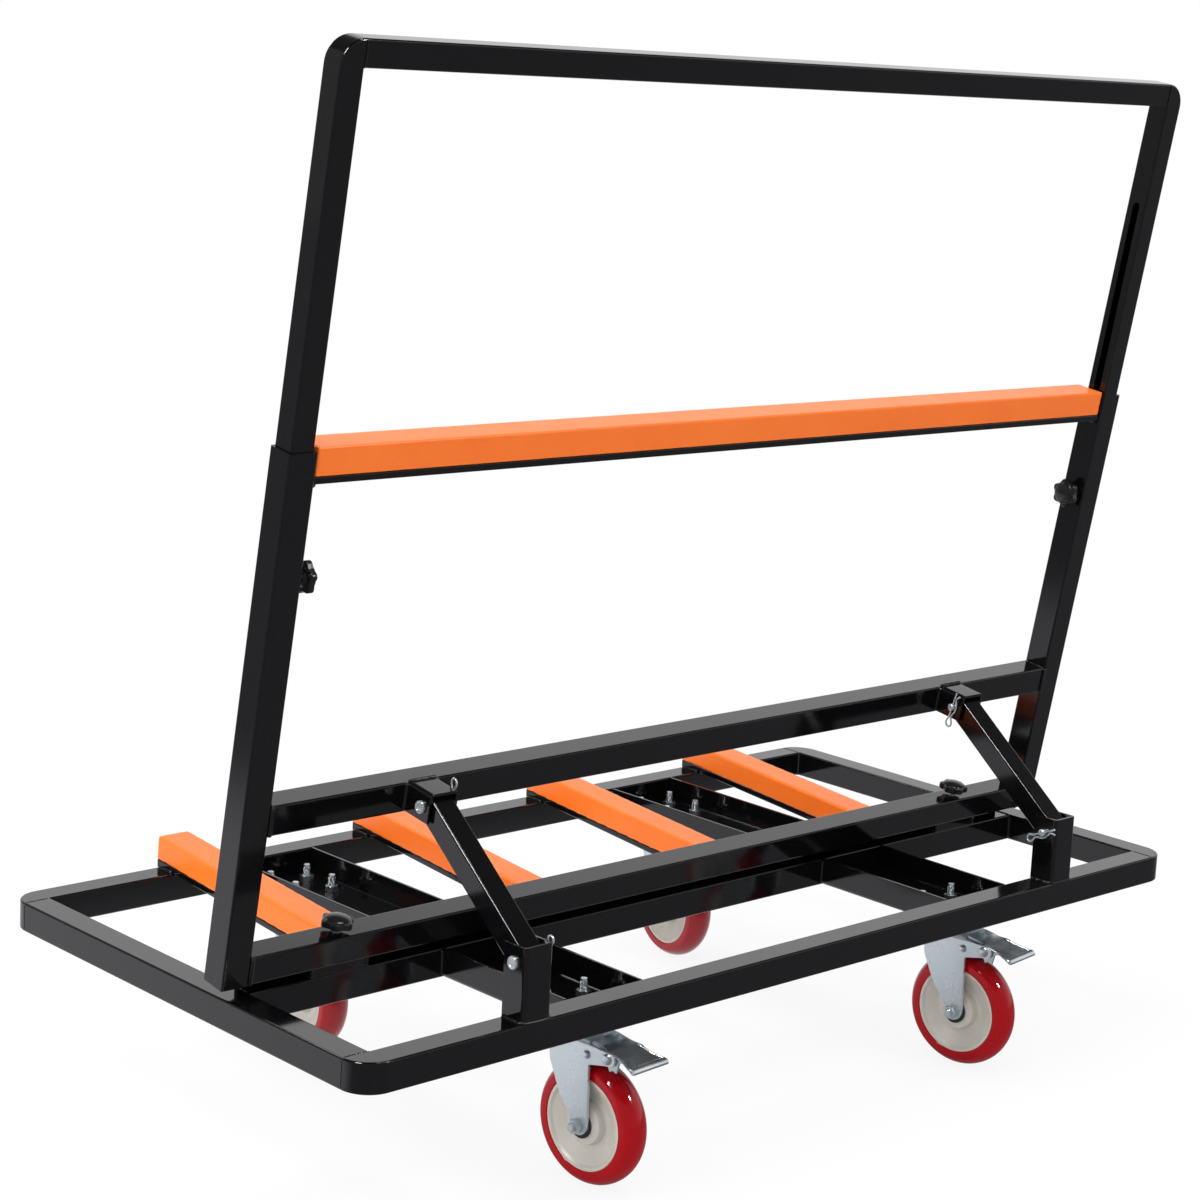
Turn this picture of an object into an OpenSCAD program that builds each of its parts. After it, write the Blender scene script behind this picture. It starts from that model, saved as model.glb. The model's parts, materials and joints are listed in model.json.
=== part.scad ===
// Drywall cart: sloping padded deck, leaning backrest that extends upward, four swivel casters.
// Millimetres. X runs along the cart, Y from the backrest side to the loading side, Z up from the floor.

/* [Base frame] */
// Length of the base over its end rails
base_l = 1166; // [1080:2:1300]
// Width of the base over its long rails
base_w = 586; // [540:2:660]
// Side of the square base and backrest tube
tube = 30; // [28:0.5:34]
// Wall of every tube
wall = 2; // [1.5:0.1:2.4]
// Outside corner radius of every tube
edge_r = 2; // [1.2:0.1:2.6]
// Centre of the middle beam, measured from the base centre towards the backrest side
mid_back = 69; // [55:1:85]

/* [Caster channels] */
// Centre of each caster channel, measured inward from the base end
channel_in = 309.5; // [280:0.5:340]
// Width of a channel over its flanges
channel_w = 100; // [94:1:112]
// Sheet thickness of channels, posts and brackets
sheet = 3; // [2.5:0.1:3.5]

/* [Casters] */
// Height of the caster mounting face above the floor
mount_h = 166; // [160:1:176]
// Wheel diameter over the tread
wheel_d = 125; // [115:1:127]
// Tread width
wheel_w = 32; // [28:1:33]
// Diameter of the wheel centre under the tread
hub_d = 93; // [84:1:98]
// Offset of the axle behind the swivel axis
trail = 23.5; // [20:0.5:27]
// Near swivel axis, measured inward from the near rail
near_inset = 31; // [30:0.5:40]
// Far swivel axis, measured inward from the far rail
far_inset = 47; // [34:0.5:60]
// Heading of the near left caster
yaw_nl = 4.4; // [0:0.2:8]
// Heading of the near right caster
yaw_nr = 7.4; // [0:0.2:8]
// Heading of the far left caster
yaw_fl = -6; // [-12:0.5:12]
// Heading of the far right caster
yaw_fr = -9; // [-12:0.5:12]
// Mounting plate size along X
plate_x = 70; // [68:1:80]
// Mounting plate size along Y
plate_y = 66; // [64:1:76]
// Mounting plate thickness
plate_t = 4; // [3:0.5:5]
// Mounting plate corner radius
plate_r = 6; // [4:0.5:8]
// Bolt spacing along X
bolt_dx = 48; // [48:0.5:52]
// Bolt spacing along Y
bolt_dy = 45; // [44:0.5:46]
// Mounting bolt diameter
bolt_d = 8; // [6:1:8]
// Height of the bolt ends above the channel floor
bolt_up = 18; // [14:1:24]
// Outside width of the caster fork
fork_w = 44; // [44:0.5:47]
// Fork sheet thickness
fork_t = 3; // [2.5:0.1:3]
// Axle bolt diameter
axle_d = 10; // [8:0.5:11]
// Swivel pin diameter
king_d = 12; // [10:0.5:14]
// Swivel race diameter
race_d = 50; // [44:1:51]
// Height of the swivel race under the plate
swivel_h = 12; // [10:0.5:14]
// Reach of the fork crown behind the swivel axis
crown_back = 32; // [30:0.5:34]
// Reach of the fork crown ahead of the swivel axis
crown_front = 20; // [18:0.5:22]
// Washer diameter beside the wheel
washer_d = 27; // [24:0.5:29]
// Reach of the brake pedal from the swivel axis
pedal_reach = 94.48; // [88:0.02:104]
// Brake pedal width at its lip
pedal_w = 48; // [44:1:54]
// Brake pedal width ahead of its lip
pedal_neck_w = 40; // [36:1:42]
// Brake pivot rivet diameter
rivet_d = 8; // [6:0.5:8]
// Brake pivot behind the axle
pivot_back = 33.8; // [32:0.2:36]
// Brake pivot below the crown
pivot_drop = 11.5; // [10.5:0.1:12]

/* [Deck] */
// Centre of each outer deck pad, measured inward from the base end
pad_in = 195.25; // [170:0.25:220]
// Slope of the deck towards the backrest
deck_slope = 4.85; // [3:0.05:5.2]
// Width of a deck bar
bar_w = 36; // [28:1:38]
// Thickness of a deck bar and of the backrest bar
bar_t = 7; // [6:0.5:9]
// Width of a deck pad
pad_w = 37; // [30:1:40]
// Height of a deck pad
pad_h = 25.5; // [22:0.5:32]
// Shoulder radius of the deck and backrest pads
pad_r = 2; // [1.5:0.5:6]
// Set back of the pad ends from the far face of the base
pad_end = 0; // [0:0.5:12]

/* [Backrest] */
// Lean of the backrest away from the load
lean = 9.15; // [7:0.05:11]
// Reach of each upright past the base end
over = 4; // [2:0.5:6]
// Gap between base and backrest foot, filled by the seat blocks
seat_gap = 9; // [7:0.5:12]
// Set back of the backrest foot from the middle beam's near face
foot_set = 3.3; // [2:0.1:4]
// Length of each upright
upright_l = 513; // [500:1:530]
// Height of the lower rail
lower_h = 28; // [26:0.5:30]
// Foot to underside of the middle rail
middle_u = 149.3; // [140:0.5:170]
// Foot to top of the backrest pad
pad_u = 517; // [505:0.5:519]
// Height of the backrest pad
back_pad_h = 27; // [22:0.5:29]
// Depth of the backrest pad
back_pad_depth = 36; // [33:0.5:40]
// Set back of the backrest pad from the uprights' back
back_pad_set = 2; // [1:0.5:4]

/* [Extending frame] */
// Side of the sliding tube
slide_w = 25; // [23:0.1:25.2]
// Foot to top of the raised frame
top_u = 870.5; // [850:0.5:880]
// Reach of the sliding tubes below the height knobs
slide_below = 63; // [50:1:80]
// Height knobs, measured down from the top of the backrest pad
knob_drop = 124; // [110:1:140]
// Top of the guide slot, measured down from the top of the raised frame
slot_drop = 135.5; // [120:0.5:150]
// Width of the guide slot
slot_w = 8.8; // [8.6:0.1:10]

/* [Knobs] */
// Diameter over the knob lobes
knob_d = 33; // [28:1:40]
// Height of a knob's neck under its lobes
neck_h = 3; // [2:0.5:6]
// Height of a knob's lobes
lobe_h = 7; // [5:0.5:10]
// Height of a knob's dome
dome_h = 3.5; // [2:0.5:5]
// Stand of a knob off its rail
knob_gap = 3; // [2:0.5:6]
// Turn of the knobs about their studs
knob_turn = 12; // [0:1:60]
// Centre of each base knob and seat block, measured inward from the base end
clamp_in = 133; // [110:1:160]
// Length of a seat block
seat_l = 65; // [50:1:80]
// Base knob stud diameter
base_stud_d = 8; // [6:0.5:9]
// Height knob stud diameter
height_stud_d = 8; // [6:0.1:8.2]
// Thickness of the weld nut at each height knob
weld_nut_h = 4; // [3:0.5:5]

/* [Struts] */
// Centre of each strut, measured inward from the base end
strut_in = 199; // [170:1:230]
// Side of the strut tube
strut_w = 25; // [23:0.5:26]
// Inside width of posts and brackets
clevis_w = 28; // [27.2:0.2:31]
// Height of a post above the rail
post_h = 72; // [69:1:80]
// Lower pin height above the rail
pin_up = 55; // [52:0.5:57]
// Upper pin behind the middle rail
pin_back = 23.4; // [20:0.2:25]
// Length of a bracket behind the middle rail
bracket_l = 35; // [33:0.5:40]
// Strut pin diameter
pin_d = 8; // [6:0.5:9]
// Spring clip wire diameter
wire_d = 2; // [1.6:0.1:2.4]
// Heading of the left lower clip, from upright towards the near side
clip_ll = 35; // [0:1:60]
// Heading of the left upper clip
clip_lu = 20; // [0:1:40]
// Heading of the right lower clip
clip_rl = 246; // [220:1:270]
// Heading of the right upper clip
clip_ru = 197.5; // [180:0.5:215]

/* [Clearances] */
// Radial clearance of a running fit
run = 0.05; // [0.02:0.01:0.08]
// Radial clearance of a loose hole
loose = 0.4; // [0.35:0.05:0.6]
// Face gap between turning pieces
face_gap = 0.5; // [0.35:0.05:0.8]

/* [Hidden] */
$fn = 64;

black = [0.10, 0.10, 0.11];
orange = [0.95, 0.38, 0.10];
zinc = [0.72, 0.76, 0.78];
red = [0.62, 0.06, 0.09];
beige = [0.77, 0.75, 0.69];
dark = [0.05, 0.05, 0.055];

half_l = base_l / 2;
half_w = base_w / 2;
channel_x = half_l - channel_in;
pad_pitch = 2 * (half_l - pad_in) / 3;
clamp_x = half_l - clamp_in;
strut_x = half_l - strut_in;
knob_u = pad_u - knob_drop;
slide_u = knob_u - slide_below;
slot_u = top_u - slot_drop;
rail_top = mount_h + tube;
rail_mid = mount_h + tube / 2;
mid_y = -mid_back;
near_y = -(half_w - tube - near_inset);
far_y = half_w - tube - far_inset;
floor_z = mount_h + sheet;
// The frame's origin sits under the middle of the whole cart, pedals included.
pedal_min = near_y - max(pedal_reach * cos(yaw_nl) + pedal_w / 2 * sin(yaw_nl),
    pedal_reach * cos(yaw_nr) + pedal_w / 2 * sin(yaw_nr));
shift_y = -(pedal_min + half_w) / 2;

foot_y = mid_y - tube / 2 - foot_set;
foot_z = rail_top + seat_gap;
up_x = half_l + over - tube / 2;
inner_x = up_x - tube / 2;
pin_u = middle_u + tube / 2;
wheel_r = wheel_d / 2;
hub_r = hub_d / 2;
crown_top = mount_h - plate_t - swivel_h;
race_split = mount_h - plate_t - swivel_h / 2;
pivot_y = -trail - pivot_back;
pivot_z = crown_top - pivot_drop;
leg_in = fork_w / 2 - fork_t;
bolt_head = bolt_d * 0.66;
nut_af = bolt_d * 1.625;
nut_h = bolt_d * 0.8;
slide_gap = (tube - 2 * wall - slide_w) / 2;
slide_n = tube / 2;
low_pin_y = sheet + strut_w / 2 + face_gap - half_w;
low_pin_z = rail_top + pin_up;
up_pin_y = foot_y - pin_u * sin(lean) - pin_back * cos(lean);
up_pin_z = foot_z + pin_u * cos(lean) - pin_back * sin(lean);
strut_l = norm([up_pin_y - low_pin_y, up_pin_z - low_pin_z]);
strut_a = atan2(up_pin_z - low_pin_z, up_pin_y - low_pin_y);
clevis_o = clevis_w + 2 * sheet;
clip_x = clevis_o / 2 + wire_d / 2 + face_gap;
clip_s = pin_d / 2 + wire_d / 2 + loose;
deck_y0 = mid_y + tube / 2;
deck_y1 = half_w - pad_end;
deck_seat = half_w - tube;

// Rounded rectangle section, centred
module section(w, h, r) {
    square([w - 2 * r, h], center = true);
    square([w, h - 2 * r], center = true);
    for (i = [-1, 1], j = [-1, 1])
        translate([i * (w / 2 - r), j * (h / 2 - r)])
            circle(r);
}

// Hollow tube along Z from the origin
module tube_z(l, w, h) {
    linear_extrude(l)
        difference() {
            section(w, h, edge_r);
            square([w - 2 * wall, h - 2 * wall], center = true);
        }
}

// Hollow tube along X from the origin
module tube_x(l, w = tube, h = tube) {
    rotate([90, 0, 90])
        tube_z(l, w, h);
}

// Hollow tube along Y from the origin
module tube_y(l, w = tube, h = tube) {
    rotate([-90, 0, 0])
        tube_z(l, w, h);
}

// Outer half of a section that is turned about its inside face
module turn_section(w) {
    translate([0, -w / 2])
        square([w - edge_r, w]);
    translate([0, edge_r - w / 2])
        square([w, w - 2 * edge_r]);
    for (j = [-1, 1])
        translate([w - edge_r, j * (w / 2 - edge_r)])
            circle(edge_r);
}

// Rounded tube corner about its inside edge, sweeping from +X to +Y
module corner(w) {
    rotate_extrude(angle = 90)
        difference() {
            turn_section(w);
            translate([0, wall - w / 2])
                square([w - wall, w - 2 * wall]);
        }
}

// Backrest frame: X across, Y depth towards the load, Z up the lean, origin at the foot
module on_back() {
    translate([0, foot_y, foot_z])
        rotate([lean, 0, 0])
            children();
}

// Moves a sub-part drawn about the base centre into the row frame
module placed() {
    translate([0, shift_y, 0])
        children();
}

module side(s) {
    mirror([s < 0 ? 1 : 0, 0, 0])
        children();
}

module near_rail() {
    color(black) placed() {
        translate([-half_l + tube, tube / 2 - half_w, rail_mid])
            tube_x(base_l - 2 * tube);
        translate([-half_l + tube, tube - half_w, rail_mid])
            rotate(180)
                corner(tube);
    }
}

module far_rail() {
    color(black) placed() {
        translate([-half_l + tube, half_w - tube / 2, rail_mid])
            tube_x(base_l - 2 * tube);
        translate([-half_l + tube, half_w - tube, rail_mid])
            rotate(90)
                corner(tube);
    }
}

module left_end_rail() {
    color(black) placed()
        translate([tube / 2 - half_l, tube - half_w, rail_mid])
            tube_y(base_w - 2 * tube);
}

module right_end_rail() {
    color(black) placed() {
        translate([half_l - tube / 2, tube - half_w, rail_mid])
            tube_y(base_w - 2 * tube);
        translate([half_l - tube, half_w - tube, rail_mid])
            corner(tube);
        translate([half_l - tube, tube - half_w, rail_mid])
            rotate(-90)
                corner(tube);
    }
}

module clamp_holes(d) {
    for (s = [-1, 1])
        on_back()
            translate([s * clamp_x, slide_n, -tube])
                cylinder(d = d, h = 2 * tube + lower_h);
}

module mid_beam() {
    color(black) placed()
        difference() {
            translate([tube - half_l, mid_y, rail_mid])
                tube_x(base_l - 2 * tube);
            clamp_holes(base_stud_d + 2 * loose);
        }
}

module channel(l) {
    difference() {
        translate([-channel_w / 2, 0, 0])
            cube([channel_w, l, tube]);
        translate([sheet - channel_w / 2, -1, sheet])
            cube([channel_w - 2 * sheet, l + 2, tube]);
    }
}

module bolt_places() {
    for (i = [-1, 1], j = [-1, 1])
        translate([i * bolt_dx / 2, j * bolt_dy / 2, 0])
            children();
}

module near_channels() {
    color(black) placed()
        for (s = [-1, 1])
            difference() {
                translate([s * channel_x, tube - half_w, mount_h])
                    channel(half_w - tube + mid_y - tube / 2);
                translate([s * channel_x, near_y, mount_h - 1])
                    bolt_places()
                        cylinder(d = bolt_d + 2 * loose, h = sheet + 2);
            }
}

module far_channels() {
    color(black) placed()
        for (s = [-1, 1])
            difference() {
                translate([s * channel_x, deck_y0, mount_h])
                    channel(half_w - tube - deck_y0);
                translate([s * channel_x, far_y, mount_h - 1])
                    bolt_places()
                        cylinder(d = bolt_d + 2 * loose, h = sheet + 2);
            }
}

module caster_places() {
    for (s = [-1, 1], y = [near_y, far_y])
        translate([s * channel_x, y, 0])
            children();
}

module caster_plates() {
    color(zinc) placed()
        caster_places() {
            difference() {
                translate([0, 0, mount_h - plate_t])
                    linear_extrude(plate_t)
                        section(plate_x, plate_y, plate_r);
                translate([0, 0, mount_h - plate_t - 1])
                    bolt_places()
                        cylinder(d = bolt_d + 2 * loose, h = plate_t + 2);
            }
            translate([0, 0, race_split])
                cylinder(d = race_d, h = mount_h - plate_t - race_split);
            translate([0, 0, crown_top - fork_t - face_gap - 1])
                cylinder(d = king_d, h = race_split - crown_top + fork_t + face_gap + 2);
            translate([0, 0, crown_top - fork_t - face_gap - 4])
                cylinder(d = king_d + 8, h = 4);
        }
}

module caster_bolts() {
    color(zinc) placed()
        caster_places()
            bolt_places() {
                translate([0, 0, mount_h - plate_t - bolt_head])
                    cylinder(d = nut_af, h = bolt_head);
                translate([0, 0, mount_h - plate_t - 1])
                    cylinder(d = bolt_d, h = plate_t + sheet + bolt_up + 1);
            }
}

module caster_nuts() {
    color(zinc) placed()
        caster_places()
            bolt_places()
                translate([0, 0, floor_z])
                    difference() {
                        cylinder(d = nut_af / cos(30), h = nut_h, $fn = 6);
                        translate([0, 0, -1])
                            cylinder(d = bolt_d, h = nut_h + 2);
                    }
}

// Deck cross places, first to last from left to right
function deck_x(i) = (i - 2.5) * pad_pitch;
function bar_top(y) = rail_top + bar_t / cos(deck_slope) + (y - deck_seat) * tan(deck_slope);

module deck_bars() {
    color(black) placed()
        for (i = [1:4])
            translate([deck_x(i) - bar_w / 2, 0, 0])
                rotate([90, 0, 90])
                    linear_extrude(bar_w)
                        polygon([
                            [deck_y0, bar_top(deck_y0) - bar_t / cos(deck_slope)],
                            [deck_seat, rail_top],
                            [deck_y1, rail_top],
                            [deck_y1, bar_top(deck_y1)],
                            [deck_y0, bar_top(deck_y0)]]);
}

module deck_pad(i) {
    color(orange) placed()
        translate([deck_x(i), deck_y1, bar_top(deck_y1)])
            rotate([90 + deck_slope, 0, 0])
                linear_extrude((deck_y1 - deck_y0 - 4) / cos(deck_slope))
                    pad_section(pad_w, pad_h);
}

module pad_section(w, h) {
    translate([-w / 2, 0])
        square([w, h - pad_r]);
    translate([pad_r - w / 2, 0])
        square([w - 2 * pad_r, h]);
    for (i = [-1, 1])
        translate([i * (w / 2 - pad_r), h - pad_r])
            circle(pad_r);
}

module deck_pad_1() { deck_pad(1); }
module deck_pad_2() { deck_pad(2); }
module deck_pad_3() { deck_pad(3); }
module deck_pad_4() { deck_pad(4); }

module post() {
    difference() {
        translate([strut_x - clevis_o / 2, -half_w, rail_top])
            cube([clevis_o, tube, post_h]);
        translate([strut_x - clevis_w / 2, sheet - half_w, rail_top - 1])
            cube([clevis_w, tube, post_h + 2]);
        translate([strut_x - clevis_o, low_pin_y, low_pin_z])
            rotate([0, 90, 0])
                cylinder(d = pin_d + 2 * loose, h = 2 * clevis_o);
    }
}

module left_post() { color(black) placed() side(-1) post(); }
module right_post() { color(black) placed() side(1) post(); }

module seat_blocks() {
    color(black) placed()
        difference() {
            for (s = [-1, 1])
                translate([s * clamp_x - seat_l / 2, 0, 0])
                    rotate([90, 0, 90])
                        linear_extrude(seat_l)
                            polygon([
                                [mid_y - tube / 2, rail_top],
                                [mid_y + tube / 2 - foot_set, rail_top],
                                [mid_y + tube / 2 - foot_set, foot_z + tube * tan(lean)],
                                [mid_y - tube / 2, foot_z + foot_set * tan(lean)]]);
            clamp_holes(base_stud_d + 2 * loose);
        }
}

module upright() {
    difference() {
        on_back()
            translate([up_x, slide_n, 0])
                tube_z(upright_l, tube, tube);
        knob_hole(height_stud_d + 2 * loose);
    }
}

// Hole along X at the height knob, through the inner wall only
module knob_hole(d) {
    on_back()
        translate([inner_x - 1, slide_n, knob_u])
            rotate([0, 90, 0])
                cylinder(d = d, h = wall + 2);
}

module left_upright() { color(black) placed() side(-1) upright(); }
module right_upright() { color(black) placed() side(1) upright(); }

module lower_rail() {
    color(black) placed()
        difference() {
            on_back()
                translate([-inner_x, slide_n, lower_h / 2])
                    tube_x(2 * inner_x, tube, lower_h);
            clamp_holes(base_stud_d + 2 * loose);
        }
}

module middle_rail() {
    color(black) placed()
        on_back()
            translate([-inner_x, slide_n, pin_u])
                tube_x(2 * inner_x);
}

// Downward open clevis behind the middle rail
module bracket() {
    cheek = strut_w / 2 + 1;
    difference() {
        on_back()
            translate([strut_x, -bracket_l, pin_u - cheek])
                difference() {
                    translate([-clevis_o / 2, 0, 0])
                        cube([clevis_o, bracket_l, 2 * cheek + sheet]);
                    translate([-clevis_w / 2, -1, -1])
                        cube([clevis_w, bracket_l + 2, 2 * cheek + 1]);
                }
        translate([strut_x - clevis_o, up_pin_y, up_pin_z])
            rotate([0, 90, 0])
                cylinder(d = pin_d + 2 * loose, h = 2 * clevis_o);
    }
}

module left_bracket() { color(black) placed() side(-1) bracket(); }
module right_bracket() { color(black) placed() side(1) bracket(); }

module backrest_bar() {
    color(black) placed()
        on_back()
            translate([-inner_x, back_pad_set, pad_u - back_pad_h - bar_t])
                cube([2 * inner_x, tube - 2 * back_pad_set, bar_t]);
}

module backrest_pad() {
    color(orange) placed()
        on_back()
            translate([2 - inner_x, back_pad_set, pad_u - back_pad_h / 2])
                rotate([90, 0, 90])
                    linear_extrude(2 * inner_x - 4)
                        translate([0, -back_pad_h / 2])
                            back_section();
}

// Backrest pad: flat underside and back, shoulders towards the load
module back_section() {
    square([back_pad_depth - pad_r, back_pad_h]);
    translate([0, pad_r])
        square([back_pad_depth, back_pad_h - 2 * pad_r]);
    for (z = [pad_r, back_pad_h - pad_r])
        translate([back_pad_depth - pad_r, z])
            circle(pad_r);
}

module knob_nuts() {
    color(zinc) placed() {
        for (s = [-1, 1])
            intersection() {
                on_back()
                    translate([s * clamp_x, slide_n, -tube])
                        difference() {
                            cylinder(d = 1.9 * base_stud_d, h = tube, $fn = 6);
                            translate([0, 0, -1])
                                cylinder(d = base_stud_d + 2 * run, h = tube + 2);
                        }
                translate([-half_l, mid_y - tube, rail_top - wall - 7])
                    cube([base_l, 2 * tube, 7]);
            }
        for (s = [-1, 1])
            side(s)
                on_back()
                    translate([inner_x - weld_nut_h, slide_n, knob_u])
                        rotate([0, 90, 0])
                            difference() {
                                cylinder(d = 1.9 * height_stud_d, h = weld_nut_h, $fn = 6);
                                translate([0, 0, -1])
                                    cylinder(d = height_stud_d + 2 * run, h = weld_nut_h + 2);
                            }
    }
}

// Square tube with rounded, pinned ends
module strut() {
    translate([strut_x, low_pin_y, low_pin_z])
        rotate([strut_a, 0, 0])
            difference() {
                union() {
                    tube_y(strut_l, strut_w, strut_w);
                    for (y = [0, strut_l])
                        translate([-strut_w / 2, y, 0])
                            rotate([0, 90, 0])
                                cylinder(d = strut_w, h = strut_w);
                }
                translate([wall - strut_w / 2, 0, wall - strut_w / 2])
                    cube([strut_w - 2 * wall, strut_l, strut_w - 2 * wall]);
                for (y = [0, strut_l])
                    translate([-strut_w, y, 0])
                        rotate([0, 90, 0])
                            cylinder(d = pin_d + 2 * loose, h = 2 * strut_w);
            }
}

module left_strut() { color(black) placed() side(-1) strut(); }
module right_strut() { color(black) placed() side(1) strut(); }

// Headed pin with a cross hole for its clip, head outward for the left strut and likewise mirrored
module strut_pin(a) {
    difference() {
        union() {
            translate([-clip_x - 4, 0, 0])
                rotate([0, 90, 0])
                    cylinder(d = pin_d, h = clip_x + 4 + clevis_o / 2 + 1);
            translate([clevis_o / 2, 0, 0])
                rotate([0, 90, 0])
                    cylinder(d = pin_d + 4, h = 3);
        }
        rotate([a, 0, 0])
            translate([-clip_x, 0, -pin_d])
                cylinder(d = wire_d + 2 * loose, h = 2 * pin_d);
    }
}

module strut_pins() {
    color(zinc) placed()
        for (s = [-1, 1])
            side(s) {
                translate([strut_x, low_pin_y, low_pin_z])
                    strut_pin(s < 0 ? clip_ll : clip_rl);
                translate([strut_x, up_pin_y, up_pin_z])
                    strut_pin(s < 0 ? clip_lu : clip_ru);
            }
}

// Hairpin clip: one leg in the pin, the other along its side, loop at the end it is pulled by
module clip(a) {
    rotate([a, 0, 0])
        translate([-clip_x, 0, 0]) {
            translate([0, 0, -2 * pin_d])
                cylinder(d = wire_d, h = 4.5 * pin_d);
            translate([0, clip_s, -1.5 * pin_d])
                cylinder(d = wire_d, h = 4 * pin_d);
            translate([0, clip_s / 2, 2.5 * pin_d])
                rotate([90, 0, 90])
                    rotate_extrude(angle = 180)
                        translate([clip_s / 2, 0])
                            circle(d = wire_d);
        }
}

module left_lower_clip() {
    color(zinc) placed() side(-1) translate([strut_x, low_pin_y, low_pin_z]) clip(clip_ll);
}
module right_lower_clip() {
    color(zinc) placed() side(1) translate([strut_x, low_pin_y, low_pin_z]) clip(clip_rl);
}
module left_upper_clip() {
    color(zinc) placed() side(-1) translate([strut_x, up_pin_y, up_pin_z]) clip(clip_lu);
}
module right_upper_clip() {
    color(zinc) placed() side(1) translate([strut_x, up_pin_y, up_pin_z]) clip(clip_ru);
}

// Sliding tube with a guide slot in its inner wall and a rounded outer corner at the top
module slide_tube() {
    on_back()
        translate([up_x, slide_n, 0]) {
            difference() {
                translate([0, 0, slide_u])
                    tube_z(top_u - slide_w - slide_u, slide_w, slide_w);
                translate([-slide_w / 2 - 1, 0, knob_u])
                    rotate([0, 90, 0])
                        cylinder(d = slot_w, h = wall + 2);
                translate([-slide_w / 2 - 1, 0, slot_u - slot_w / 2])
                    rotate([0, 90, 0])
                        cylinder(d = slot_w, h = wall + 2);
                translate([-slide_w / 2 - 1, -slot_w / 2, knob_u])
                    cube([wall + 2, slot_w, slot_u - slot_w / 2 - knob_u]);
            }
            translate([-slide_w / 2, 0, top_u - slide_w])
                rotate([90, 0, 0])
                    corner(slide_w);
        }
}

module left_slide_tube() { color(black) placed() side(-1) slide_tube(); }
module right_slide_tube() { color(black) placed() side(1) slide_tube(); }

module top_bar() {
    bar_x = up_x - slide_w / 2;
    color(black) placed()
        on_back()
            translate([-bar_x, slide_n, top_u - slide_w / 2])
                tube_x(2 * bar_x, slide_w, slide_w);
}

// Six-lobed knob on a stud, drawn along Z from the face it clamps
module knob(stud_d, reach) {
    lobe_r = knob_d * 0.17;
    dome_r = knob_d * 0.3;
    color(dark)
        translate([0, 0, knob_gap]) {
            cylinder(d1 = knob_d * 0.46, d2 = knob_d * 0.56, h = neck_h);
            translate([0, 0, neck_h])
                linear_extrude(lobe_h) {
                    circle(d = knob_d * 0.86);
                    for (k = [0:5])
                        rotate(k * 60)
                            translate([knob_d / 2 - lobe_r, 0])
                                circle(lobe_r);
                }
            translate([0, 0, neck_h + lobe_h])
                rotate_extrude()
                    polygon([[0, -1], [dome_r, -1], [dome_r, 0], [dome_r * 0.85, dome_h * 0.5],
                        [dome_r * 0.5, dome_h * 0.9], [0, dome_h]]);
        }
    color(zinc)
        translate([0, 0, -reach])
            cylinder(d = stud_d, h = reach + knob_gap + 1);
}

module height_knob() {
    on_back()
        translate([inner_x - weld_nut_h, slide_n, knob_u])
            rotate([0, -90, 0])
                rotate(knob_turn)
                    knob(height_stud_d, weld_nut_h + wall + slide_gap + wall + 3);
}

module base_knob() {
    on_back()
        translate([clamp_x, slide_n, lower_h])
            rotate(knob_turn)
                knob(base_stud_d, lower_h + seat_gap + tube / 2);
}

module left_height_knob() { placed() side(-1) height_knob(); }
module right_height_knob() { placed() side(1) height_knob(); }
module left_base_knob() { placed() side(-1) base_knob(); }
module right_base_knob() { placed() side(1) base_knob(); }

// Caster frame: origin on the floor under the swivel axis, axle along X, trail towards -Y
module at_caster(s, y, yaw) {
    placed()
        translate([s * channel_x, y, 0])
            rotate(yaw)
                children();
}

module leg_outline(braked) {
    translate([-trail, wheel_r])
        circle(axle_d / 2 + 7);
    polygon([[-trail - axle_d / 2 - 7, wheel_r], [-trail + axle_d / 2 + 6, wheel_r + 3.5],
        [5, wheel_r + 28], [crown_front - 1, crown_top - 31], [crown_front, crown_top],
        [-crown_back, crown_top], [-crown_back, crown_top - 25]]);
    if (braked)
        polygon([[-20, crown_top], [-34, crown_top - 3], [-48, crown_top - 5.5],
            [pivot_y - 5, crown_top - 7], [pivot_y - 8.5, crown_top - 11],
            [pivot_y - 7, crown_top - 17.5], [pivot_y, crown_top - 19.5], [-38, crown_top - 23],
            [-30, crown_top - 28]]);
}

module fork(braked) {
    color(zinc)
        difference() {
            union() {
                for (s = [-1, 1])
                    translate([s * (fork_w - fork_t) / 2 - fork_t / 2, 0, 0])
                        rotate([90, 0, 90])
                            linear_extrude(fork_t)
                                leg_outline(braked);
                translate([-fork_w / 2, -crown_back, crown_top - fork_t])
                    cube([fork_w, crown_back + crown_front, fork_t]);
                translate([0, 0, crown_top - fork_t])
                    cylinder(d = race_d, h = race_split - face_gap - crown_top + fork_t);
            }
            translate([0, 0, crown_top - fork_t - 1])
                cylinder(d = king_d + 2 * run, h = race_split - crown_top + fork_t + 2);
            translate([-fork_w, -trail, wheel_r])
                rotate([0, 90, 0])
                    cylinder(d = axle_d, h = 2 * fork_w);
            if (braked)
                translate([-fork_w, pivot_y, pivot_z])
                    rotate([0, 90, 0])
                        cylinder(d = rivet_d, h = 2 * fork_w);
        }
}

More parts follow.
